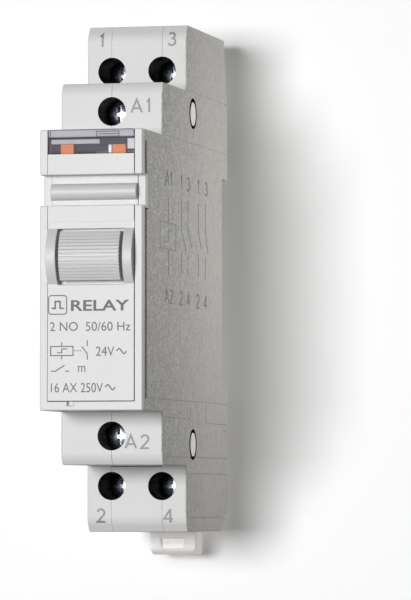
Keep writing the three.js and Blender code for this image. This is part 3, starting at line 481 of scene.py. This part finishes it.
def rounded_piece(node, width_mm, seam_share=0.3, dark=None, segments=3, crease_mm=0, moves=(),
                  surface=None):
    """A copy of a node with rounded outer edges that stands for it.

    seam_share is the part of the rounding that is left beside another part, crease_mm rounds the
    long bends more, and moves shifts the flat faces at one x to another, in mm.
    """
    mesh = solid_of(node)
    for vertex in mesh.verts:
        for start, end in moves:
            if abs(vertex.co.x - start * MM) < SAME_PLANE:
                vertex.co.x = end * MM
    mesh.normal_update()
    weights = mesh.edges.layers.float.new("bevel_weight_edge")
    widest = max(width_mm, crease_mm)
    for face in mesh.faces:
        face.smooth = is_curved(face)
        face.material_index = 1 if dark and dark(face) else 0
    for edge in mesh.edges:
        edge[weights] = edge_weight(edge, node, seam_share) * width_mm / widest
        if crease_mm and edge[weights] > 0 and is_crease(edge):
            edge[weights] = 1
        if any(face.material_index for face in edge.link_faces):
            edge[weights] = min(edge[weights], seam_share * width_mm / widest)
        edge.smooth = edge.calc_face_angle(0) < FACET_ANGLE
    surfaces = [surface or materials[slots[node]]] + ([well_shade] if dark else [])
    body = body_of(nodes[node])[0]
    obj = new_piece(f"{node}_moulding", mesh, slots[node], *surfaces, body=body)
    bevel = obj.modifiers.new("bevel", "BEVEL")
    bevel.width = widest * MM
    bevel.segments = segments
    bevel.limit_method = "WEIGHT"
    bevel.use_clamp_overlap = False
    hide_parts(node)
    return obj


# ---- Housing ----------------------------------------------------------------------------------

def radial(point, axis_point):
    """Distance from an axis that runs front to back."""
    return math.hypot(point.x - axis_point.x, point.z - axis_point.z)


SCREW_AXES = [middle(f"terminal_screw_{name}") for name in TERMINALS]
PIN_AXES = [middle("joining_pin_top"), middle("joining_pin_bottom")]


def in_shade(face):
    """The walls of the screw wells and of the joining pins' recesses."""
    centre = face.calc_center_median()
    if abs(face.normal.y) < 0.5 and any(radial(centre, axis) < WELL_REACH for axis in SCREW_AXES):
        return True
    if not PIN_RECESS_INNER_X < abs(centre.x) < SIDE_X - SIDE_SKIN:
        return False
    return any(
        math.hypot(centre.y - axis.y, centre.z - axis.z) < PIN_RECESS_RADIUS for axis in PIN_AXES)


# Parting gaps are drawn narrower than the parts' working clearance.
SHELL_SEAM = ((-0.05, -0.018), (0.05, 0.018))
DIVIDER_SEAM = ((-4.25, -4.325), (4.25, 4.325))
PLATE_SEAM = ((-7.1, -7.18),)
HOUSING_ROUND = {"width_mm": 0.22, "seam_share": 0.12, "dark": in_shade, "segments": 5, "crease_mm": 0.8}
for part in ("left_shell", "right_shell"):
    rounded_piece(part, moves=SHELL_SEAM, **HOUSING_ROUND)
for part in ("top_divider", "bottom_divider"):
    rounded_piece(part, moves=DIVIDER_SEAM, **HOUSING_ROUND)
rounded_piece("front_frame", 0.2, 0.3)
rounded_piece("front_plate", 0.14, 0.4, moves=PLATE_SEAM)
rounded_piece("manual_button", 0.1, 0.5, segments=2, surface=button_plastic)
rounded_piece("rail_clip", 0.35, 0.4)

# The pins' heads are slightly narrow and sit towards the rail, which leaves a dark crescent; their sides get
# the painted shade of the wells.
PIN_NARROWED = {"y": 0.88, "z": 0.95}
PIN_SET_BACK = 0.2 * MM
for part in ("joining_pin_top", "joining_pin_bottom"):
    pin = rounded_piece(part, 0.08, 1, lambda face: abs(face.normal.x) < 0.5)
    centre = middle(part)
    for vertex in pin.data.vertices:
        vertex.co.y = centre.y + (vertex.co.y - centre.y) * PIN_NARROWED["y"] + PIN_SET_BACK
        vertex.co.z = centre.z + (vertex.co.z - centre.z) * PIN_NARROWED["z"]

HEAD_RADIUS = 2.1 * MM
HEAD_HEIGHT = 1.9 * MM
DOME_DROP = 0.4 * MM
DOME_STEPS = 6
DOME_REACH = 0.98 * HEAD_RADIUS


def domed_screw(name):
    """A copy of a terminal screw whose slotted head is domed."""
    node = f"terminal_screw_{name}"
    mesh = solid_of(node)
    axis, front = middle(node), low(node).y
    for side in range(-DOME_STEPS, DOME_STEPS + 1):
        offset = side / DOME_STEPS * DOME_REACH
        for direction in (Vector((1, 0, 0)), Vector((0, 0, 1))):
            bmesh.ops.bisect_plane(mesh, geom=mesh.verts[:] + mesh.edges[:] + mesh.faces[:],
                                   plane_co=axis + direction * offset, plane_no=direction)
    for vertex in mesh.verts:
        if vertex.co.y < front + HEAD_HEIGHT:
            share = min(1.0, radial(vertex.co, axis) / HEAD_RADIUS)
            vertex.co.y += DOME_DROP * share ** 2 * (1 - (vertex.co.y - front) / HEAD_HEIGHT)
    for face in mesh.faces:
        face.smooth = True
    for edge in mesh.edges:
        edge.smooth = edge.calc_face_angle(0) < FACET_ANGLE
    steel = materials["screw_steel"]
    obj = new_piece(f"screw_{name}_domed", mesh, "screw_steel", steel, body=f"screw_{name}")
    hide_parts(node)


for name in TERMINALS:
    domed_screw(name)

shown_as_packed = set(nodes) - {
    "left_shell", "right_shell", "top_divider", "bottom_divider", "front_frame", "front_plate",
    "manual_button", "rail_clip", "indicator_window", "joining_pin_top", "joining_pin_bottom",
} - {f"terminal_screw_{name}" for name in TERMINALS}
for part in sorted(shown_as_packed):
    set_material(nodes[part], materials[slots[part]])
    soften(nodes[part], 0.06)


# ---- Window -------------------------------------------------------------------------------------

BOX_SIDES = ((0, 1, 3, 2), (4, 6, 7, 5), (0, 4, 5, 1), (2, 3, 7, 6), (0, 2, 6, 4), (1, 5, 7, 3))


def block(name, extent, slot, surface, round_mm=0.08):
    """A block between two values on each axis, in mm, with rounded edges."""
    x, y, z = extent
    mesh = bmesh.new()
    verts = [mesh.verts.new(Vector((i, j, k)) * MM) for i in x for j in y for k in z]
    for ring in BOX_SIDES:
        mesh.faces.new([verts[index] for index in ring])
    bmesh.ops.recalc_face_normals(mesh, faces=mesh.faces)
    obj = new_piece(name, mesh, slot, surface)
    soften(obj, round_mm)
    return obj


# Pieces in the window opening: each block's x, y and z in mm.
WINDOW_X = (low("indicator_window").x / MM, high("indicator_window").x / MM)
PANE = (WINDOW_X, (-54.95, -54.25), (18.67, 21.15))
HOOD = (WINDOW_X, (-55.0, -50.5), (21.2, 22.5))
SHELF = ((-6.85, 1.2), (-54.15, -53.8), (20.2, 20.95))
SHADE = ((1.35, 5.6), (-54.15, -53.85), (20.1, 20.75))
EDGE_STRIP = ((2.6, 3.1), (-54.0, -53.0), (18.75, 20.05))
CHEEK = ((5.75, 6.95), (-54.1, -53.0), (19.3, 21.0))
BACK = ((-7.1, 7.1), (-52.6, -52.3), (19.2, 21.1))
pane = block("window_pane", PANE, "window_plastic", materials["window_plastic"])
hood = block("window_hood", HOOD, "window_plastic", lilac_plastic, 0.18)
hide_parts("indicator_window")
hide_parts("indicator_window")
block("window_shelf", SHELF, "window_plastic", lilac_plastic)
# The shade and back blocks are dark sheets of painted shade inside the window.
block("window_shade", SHADE, "dark_plastic", window_painted_shade)
# The edge strip uses the clip's plastic, so it carries the same painted glow.
block("window_edge_strip", EDGE_STRIP, "white_plastic", materials["white_plastic"])
block("window_cheek", CHEEK, "window_plastic", lilac_pale)
block("window_back", BACK, "dark_plastic", window_painted_shade)

HOOD_LINES = (
    [(0.9, 21.3), (4.6, 21.3), (4.6, 22.1), (0.9, 22.1)],
    [(1.2, 21.7), (4.6, 21.7)],
    [(-6.75, 21.25), (-6.75, 22.4)],
    [(-7.0, 22.4), (7.0, 22.4)],
)


# ---- Lettering and drawn lines -----------------------------------------------------------------

def face_frame(right, out, level):
    """Axes of a flat face: u to the right along it, v up, w out of it."""
    up = Vector((0, 0, 1))
    matrix = Matrix((right, up, out)).transposed().to_4x4()
    matrix.translation = out * level
    return matrix


FRONT_FACE = face_frame(Vector((1, 0, 0)), Vector((0, -1, 0)), -FRONT_Y)
MID_FACE = face_frame(Vector((1, 0, 0)), Vector((0, -1, 0)), -MID_FACE_Y)
REAR_FACE = face_frame(Vector((1, 0, 0)), Vector((0, -1, 0)), -REAR_FACE_Y)
RIGHT_FACE = face_frame(Vector((0, 1, 0)), Vector((1, 0, 0)), SIDE_X)


def add_letters(mesh, words, left, right, bottom, top, raised, weight=0.0, spacing=1.0):
    """Letters of the built-in font, stretched to fill a rectangle in mm."""
    data = bpy.data.curves.new("letters", "FONT")
    data.body = words
    data.extrude = 0.5
    data.offset = weight
    data.space_character = spacing
    data.resolution_u = 5
    obj = bpy.data.objects.new("letters", data)
    bpy.context.scene.collection.objects.link(obj)
    bpy.context.view_layer.update()
    shown = obj.evaluated_get(bpy.context.evaluated_depsgraph_get())
    flat = bpy.data.meshes.new_from_object(shown)
    bpy.data.objects.remove(obj)
    low_corner = [min(v.co[axis] for v in flat.vertices) for axis in range(3)]
    high_corner = [max(v.co[axis] for v in flat.vertices) for axis in range(3)]
    fits = ((left, right), (bottom, top), (-raised, raised))
    for vertex in flat.vertices:
        for axis, (start, end) in enumerate(fits):
            share = (vertex.co[axis] - low_corner[axis]) / (high_corner[axis] - low_corner[axis])
            vertex.co[axis] = (start + share * (end - start)) * MM
    mesh.from_mesh(flat)
    bpy.data.meshes.remove(flat)


def add_stroke(mesh, points, width, height, closed=False, sink=0.1):
    """A flat bar of even width along a line of points, with mitred corners and a sunk foot."""
    path = [Vector((u, v, 0)) for u, v in points]
    count = len(path)
    sections = []
    for index, point in enumerate(path):
        normals = []
        if closed or index > 0:
            along = (point - path[index - 1]).normalized()
            normals.append(Vector((-along.y, along.x, 0)))
        if closed or index < count - 1:
            along = (path[(index + 1) % count] - point).normalized()
            normals.append(Vector((-along.y, along.x, 0)))
        side = sum(normals, Vector()).normalized()
        offset = side * (width / 2 / side.dot(normals[0]))
        foot, top = Vector((0, 0, -sink)), Vector((0, 0, height))
        corners = (point + offset + foot, point - offset + foot,
                   point - offset + top, point + offset + top)
        sections.append([mesh.verts.new(corner * MM) for corner in corners])
    pairs = list(zip(sections, sections[1:] + (sections[:1] if closed else [])))
    for first, second in pairs:
        for index in range(4):
            following = (index + 1) % 4
            mesh.faces.new((first[index], second[index], second[following], first[following]))
    if not closed:
        mesh.faces.new(sections[0])
        mesh.faces.new(reversed(sections[-1]))


def arc(centre_u, centre_v, radius_u, radius_v, start, end, steps=8):
    """Points along part of an ellipse, angles in degrees from the right, turning up."""
    angles = [math.radians(start + (end - start) * step / steps) for step in range(steps + 1)]
    return [(centre_u + radius_u * math.cos(a), centre_v + radius_v * math.sin(a)) for a in angles]


# Each sign's strokes in a box one unit wide and one unit high.
SIGNS = {
    "1": [[(0.0, 0.80), (0.9, 1.0), (0.9, 0.0)]],
    "2": [arc(0.48, 0.72, 0.46, 0.28, 165, -30) + [(0.0, 0.0), (1.0, 0.0)]],
    "3": [arc(0.46, 0.76, 0.40, 0.24, 150, -90), arc(0.46, 0.27, 0.52, 0.27, 90, -155)],
    "4": [[(1.0, 0.26), (0.0, 0.26), (0.74, 1.0)], [(0.74, 1.0), (0.74, 0.0)]],
    "A": [[(0.0, 0.0), (0.5, 1.0), (1.0, 0.0)], [(0.18, 0.32), (0.82, 0.32)]],
}
SIGN_WIDTHS = {"1": 0.30, "2": 0.66, "3": 0.64, "4": 0.70, "A": 0.86}
SIGN_GAP = 0.22


def add_signs(mesh, words, centre, bottom, height, squeeze, line, raised):
    """Numbers in even strokes, centred on u; squeeze scales their width."""
    widths = [SIGN_WIDTHS[sign] * height * squeeze for sign in words]
    gap = SIGN_GAP * height * squeeze
    left = centre - (sum(widths) + gap * (len(words) - 1)) / 2
    inset = line / 2
    for sign, width in zip(words, widths):
        for order, stroke in enumerate(SIGNS[sign]):
            points = [(left + inset + u * (width - line), bottom + inset + v * (height - line))
                      for u, v in stroke]
            add_stroke(mesh, points, line, raised * (1 + 0.1 * order))
        left += width + gap


MARKING_WELD = 0.0005 * MM


def marking(name, draw, face, slot, surface):
    """A raised marking drawn on a flat face of the housing."""
    mesh = bmesh.new()
    draw(mesh)
    bmesh.ops.remove_doubles(mesh, verts=mesh.verts, dist=MARKING_WELD)
    bmesh.ops.recalc_face_normals(mesh, faces=mesh.faces)
    mesh.transform(face)
    return new_piece(name, mesh, slot, surface)


# Terminal numbers beside the screw wells: name, words, middle, bottom, face.
LABEL_HEIGHT = 2.42
LABEL_LINE = 0.3
LABEL_RAISED = 0.07
LABELS = (
    ("label_1", "1", -6.1, 38.55, REAR_FACE),
    ("label_3", "3", 6.0, 38.55, REAR_FACE),
    ("label_2", "2", -6.1, -40.6, REAR_FACE),
    ("label_4", "4", 5.4, -40.6, REAR_FACE),
    ("label_a1", "A1", 4.8, 26.0, MID_FACE),
    ("label_a2", "A2", 4.3, -28.55, MID_FACE),
)
REAR_CREASE_Z = 40.3 * MM
REAR_LEAN = 1.3 / 1.8            # how far the face leans back for its height above the crease


def draw_label(mesh, words, centre, bottom, crease):
    """A number that follows the step's face where it leans back past the crease."""
    add_signs(mesh, words, centre, bottom, LABEL_HEIGHT, 1.0, LABEL_LINE, LABEL_RAISED)
    for level in (-crease, crease):
        bmesh.ops.bisect_plane(mesh, geom=mesh.verts[:] + mesh.edges[:] + mesh.faces[:],
                               plane_co=(0, level, 0), plane_no=(0, 1, 0))
    for vertex in mesh.verts:
        vertex.co.z -= max(0.0, abs(vertex.co.y) - crease) * REAR_LEAN


# The moulded numbers get raised_label's darker colour: painted shade.
for name, words, centre, bottom, face in LABELS:
    marking(name, lambda mesh: draw_label(mesh, words, centre, bottom, REAR_CREASE_Z),
            face, "housing_plastic", raised_label)

# Printing on the front plate.
INK = 0.015
LINE = 0.17
CROSSING_INK = INK * 1.1         # a stroke that meets another lies a little higher
PULSE_MARK = {"u": -5.5, "v": -5.6, "half": 1.5, "corner": 0.45, "line": 0.26}
PULSE = ((-1.0, -0.55), (-0.4, -0.55), (-0.4, 0.55), (0.4, 0.55), (0.4, -0.55), (1.0, -0.55))
QUARTERS = ((1, 1), (-1, 1), (-1, -1), (1, -1))
WAVE_STEPS = 12
WAVE_LINE = 0.2


def draw_pulse_mark(mesh):
    """A square with round corners around a pulse."""
    centre_u, centre_v, corner = PULSE_MARK["u"], PULSE_MARK["v"], PULSE_MARK["corner"]
    half = PULSE_MARK["half"]
    outline = []
    for quarter, (su, sv) in enumerate(QUARTERS):
        for step in range(4):
            angle = math.radians(90 * quarter + 30 * step)
            outline.append((centre_u + su * (half - corner) + corner * math.cos(angle),
                            centre_v + sv * (half - corner) + corner * math.sin(angle)))
    add_stroke(mesh, outline, LINE, INK, closed=True)
    pulse = [(centre_u + u, centre_v + v) for u, v in PULSE]
    add_stroke(mesh, pulse, PULSE_MARK["line"], CROSSING_INK)


def draw_wave(mesh, left, right, level, height):
    """The sign for alternating current."""
    points = []
    for step in range(WAVE_STEPS + 1):
        share = step / WAVE_STEPS
        rise = height / 2 * math.sin(2 * math.pi * share)
        points.append((left + share * (right - left), level + rise))
    add_stroke(mesh, points, WAVE_LINE, INK)


COIL_BOX = [(-6.65, -13.7), (-2.95, -13.7), (-2.95, -12.25), (-6.65, -12.25)]
COIL_STROKES = (
    [(-4.8, -14.3), (-4.8, -13.8)],
    [(-4.8, -12.15), (-4.8, -11.6)],
    [(-5.6, -13.25), (-4.8, -13.25), (-4.8, -12.65), (-3.9, -12.65)],
)
COIL_DASHES = 3
DASH_PITCH = 0.45
COIL_BLADE = [(-1.5, -12.3), (-0.63, -13.35), (-0.57, -14.4)]
COIL_FIXED_LINE = [(-0.6, -12.2), (-0.6, -11.3)]


def draw_coil_line(mesh):
    """The sign of a coil that drives a contact, and its supply."""
    add_stroke(mesh, COIL_BOX, LINE, INK, closed=True)
    for points in COIL_STROKES:
        add_stroke(mesh, points, LINE, CROSSING_INK)
    for dash in range(COIL_DASHES):
        shift = DASH_PITCH * dash
        add_stroke(mesh, [(-2.75 + shift, -12.95), (-2.52 + shift, -12.95)], LINE, INK)
    add_stroke(mesh, COIL_BLADE, LINE, INK * 1.2)
    add_stroke(mesh, COIL_FIXED_LINE, LINE, INK)
    add_letters(mesh, "24V", 0.83, 3.87, -13.8, -12.3, INK)
    draw_wave(mesh, 4.25, 5.85, -13.05, 0.8)


def draw_contact_line(mesh):
    """The sign of a normally open contact."""
    add_stroke(mesh, [(-6.6, -16.2), (-5.86, -16.2), (-4.34, -15.25)], LINE, INK)
    add_stroke(mesh, [(-4.27, -16.2), (-3.55, -16.2)], LINE, INK)
    add_letters(mesh, "m", -2.1, -0.9, -16.35, -15.35, INK)


def draw_rating(mesh):
    """The contacts' rating."""
    add_letters(mesh, "16 AX 250V", -6.6, 2.0, -19.6, -18.1, INK)
    draw_wave(mesh, 2.4, 4.0, -18.8, 0.8)


FRONT_PRINT = (
    ("print_pulse_mark", draw_pulse_mark),
    ("print_relay", lambda mesh: add_letters(mesh, "RELAY", -3.3, 6.3, -6.6, -4.85, INK, 0.02)),
    ("print_contacts", lambda mesh: add_letters(mesh, "2 NO  50/60 Hz", -6.8, 6.5, -9.8, -8.35, INK)),
    ("print_coil", draw_coil_line),
    ("print_switch", draw_contact_line),
    ("print_rating", draw_rating),
)
for name, draw in FRONT_PRINT:
    marking(name, draw, FRONT_FACE, "dark_plastic", print_ink)


def draw_hood_lines(mesh):
    """Fine lines on the top strip of the window."""
    for order, line in enumerate(HOOD_LINES):
        add_stroke(mesh, line, 0.16, 0.01 + 0.004 * order, closed=len(line) > 2)


marking("hood_lines", draw_hood_lines, FRONT_FACE, "window_plastic", lilac_dark)

# The wiring diagram moulded into the right side: u is depth from front to rail, v is height.
SIDE_RAISED = 0.04
SIDE_LINE = 0.22
SIDE_CONTACTS = (
    # u of the fixed line, its top and bottom, far end of the blade, lower line's top and bottom
    (-29.0, 12.5, 7.8, (-26.0, 4.3), 4.1, 0.6),
    (-24.6, 12.8, 7.9, (-21.8, 5.0), 3.8, 0.1),
    (-17.3, 12.8, 8.15, (-15.25, 5.35), 4.1, 0.6),
    (-12.3, 13.1, 8.4, (-10.3, 4.75), 4.1, 0.3),
)
SIDE_COIL_BOX = [(-43.56, 4.05), (-32.92, 4.05), (-32.92, 8.35), (-43.56, 8.35)]
SIDE_COIL_LEADS = ([(-37.9, 12.6), (-37.9, 8.5)], [(-37.9, 3.9), (-37.9, -0.2)])
SIDE_COIL_PULSE = [(-40.6, 5.25), (-38.0, 5.25), (-38.0, 7.15), (-35.4, 7.15)]
SIDE_CROSSBAR = [(-18.2, 4.15), (-17.5, 4.15)]
SIDE_TOP_WORDS = (("A1", -37.9), ("1", -29.2), ("3", -24.3), ("1", -17.3), ("3", -11.7))
SIDE_BOTTOM_WORDS = (("A2", -37.7), ("2", -29.35), ("4", -24.3), ("2", -17.6), ("4", -12.3))
SIDE_WORD_ROWS = ((14.35, SIDE_TOP_WORDS), (-4.8, SIDE_BOTTOM_WORDS))
SIDE_WORD_HEIGHT = 2.45
SIDE_WORD_SQUEEZE = 1.3
SIDE_WORD_LINE = 0.26


def draw_side_diagram(mesh):
    """The coil on the left, and its contacts beside it."""
    rise = SIDE_RAISED
    for lead in SIDE_COIL_LEADS:
        add_stroke(mesh, lead, SIDE_LINE, rise)
    add_stroke(mesh, SIDE_COIL_BOX, SIDE_LINE, rise, closed=True)
    add_stroke(mesh, SIDE_COIL_PULSE, SIDE_LINE, rise)
    for u, top, bottom, tip, lower_top, lower_bottom in SIDE_CONTACTS:
        add_stroke(mesh, [(u, top), (u, bottom), tip], SIDE_LINE, rise)
        add_stroke(mesh, [(u, lower_top), (u, lower_bottom)], SIDE_LINE, rise)
    add_stroke(mesh, SIDE_CROSSBAR, SIDE_LINE, rise)


def draw_side_words(mesh):
    """The terminal numbers above and below the diagram."""
    for bottom, row in SIDE_WORD_ROWS:
        for words, centre in row:
            add_signs(mesh, words, centre, bottom, SIDE_WORD_HEIGHT, SIDE_WORD_SQUEEZE,
                      SIDE_WORD_LINE, SIDE_RAISED)


# The moulded diagram and numbers are drawn darker than the wall: painted shade.
marking("side_diagram", draw_side_diagram, RIGHT_FACE, "housing_plastic", side_line)
marking("side_words", draw_side_words, RIGHT_FACE, "housing_plastic", side_marking)


# ---- Stage ----------------------------------------------------------------------------------------

def stage_material(name, see_through):
    """A pale surface that bounces little light.

    see_through makes it clear from behind and lets the lights behind it shine through.
    """
    s = Surface(name, (0.98, 0.98, 0.975), 0.95)
    s.shader.inputs["Specular IOR Level"].default_value = 0.0
    s.shader.inputs["Emission Color"].default_value = (1, 1, 1, 1)
    s.shader.inputs["Emission Strength"].default_value = 0.10
    path = s.add("ShaderNodeLightPath")
    s.tint(path.outputs["Is Diffuse Ray"], (0.06, 0.06, 0.058))
    if see_through:
        geometry = s.add("ShaderNodeNewGeometry")
        either = s.add("ShaderNodeMath", operation="MAXIMUM")
        s.tree.links.new(geometry.outputs["Backfacing"], either.inputs[0])
        s.tree.links.new(path.outputs["Is Shadow Ray"], either.inputs[1])
        clear = s.add("ShaderNodeBsdfTransparent")
        mix = s.add("ShaderNodeMixShader")
        s.link(either.outputs[0], mix, "Fac")
        s.tree.links.new(s.shader.outputs[0], mix.inputs[1])
        s.tree.links.new(clear.outputs[0], mix.inputs[2])
        s.tree.links.new(mix.outputs[0], s.tree.nodes["Material Output"].inputs["Surface"])
    return s.material


def panel(name, corners, material):
    mesh = bpy.data.meshes.new(name)
    mesh.from_pydata(corners, [], [range(len(corners))])
    obj = bpy.data.objects.new(name, mesh)
    bpy.context.scene.collection.objects.link(obj)
    obj.data.materials.append(material)
    return obj


REACH = 3.0
FLOOR_DROP = 14 * MM
BACKDROP_GAP = 3 * MM
FLOOR_Z = low("rail_clip").z - FLOOR_DROP
BACKDROP_Y = high("rail_clip").y + BACKDROP_GAP
panel("floor", [(-REACH, -REACH, FLOOR_Z), (REACH, -REACH, FLOOR_Z),
                (REACH, REACH, FLOOR_Z), (-REACH, REACH, FLOOR_Z)],
      stage_material("pale_floor", False))
panel("backdrop", [(-REACH, BACKDROP_Y, FLOOR_Z), (REACH, BACKDROP_Y, FLOOR_Z),
                   (REACH, BACKDROP_Y, REACH), (-REACH, BACKDROP_Y, REACH)],
      stage_material("pale_backdrop", True))


def area_light(name, place, aim, size, power, colour):
    data = bpy.data.lights.new(name, "AREA")
    data.shape = "DISK"
    data.size = size
    data.energy = power
    data.color = colour
    obj = bpy.data.objects.new(name, data)
    obj.location = place
    obj.rotation_euler = (Vector(aim) - Vector(place)).to_track_quat("-Z", "Y").to_euler()
    obj.visible_camera = False
    bpy.context.scene.collection.objects.link(obj)


# Lights: name, place, what it points at, width, power, colour.
WHITE = (1, 1, 1)
LIGHTS = (
    ("key", (-0.17, -0.95, 0.02), (0, 0, 0), 0.33, 9.5, (0.99, 0.995, 1)),
    ("side_glow", (0.08, 0.035, 0.012), (0, -0.01, 0.01), 0.05, 0.038, (1, 0.97, 0.91)),
    ("left_fill", (-0.6, 0.2, 0.2), (0, 0, 0), 0.4, 1.3, WHITE),
    ("rear_fill", (-0.35, 0.9, 0.3), (0, 0, 0), 0.4, 1.0, WHITE),
)
WORLD_STRENGTH = 0.10
for light in LIGHTS:
    area_light(*light)

world = bpy.data.worlds.new("studio")
bpy.context.scene.world = world
world.use_nodes = True
background = world.node_tree.nodes["Background"]
background.inputs["Color"].default_value = (*WHITE, 1)
background.inputs["Strength"].default_value = WORLD_STRENGTH

SENSOR_MM = 36
LENS_MM = 263.4
CAMERA_PLACE = (0.1815, -0.7311, -0.0353)
yaw, pitch = math.radians(13.53), math.radians(2.49)
camera_data = bpy.data.cameras.new("camera")
camera_data.sensor_fit = "VERTICAL"
camera_data.sensor_height = SENSOR_MM
camera_data.lens = LENS_MM
camera_data.clip_end = 20
camera = bpy.data.objects.new("camera", camera_data)
bpy.context.scene.collection.objects.link(camera)
bpy.context.scene.camera = camera
camera.location = CAMERA_PLACE
direction = Vector((-math.sin(yaw) * math.cos(pitch), math.cos(yaw) * math.cos(pitch), math.sin(pitch)))
camera.rotation_euler = direction.to_track_quat("-Z", "Y").to_euler()
bpy.context.scene.view_settings.view_transform = "Standard"
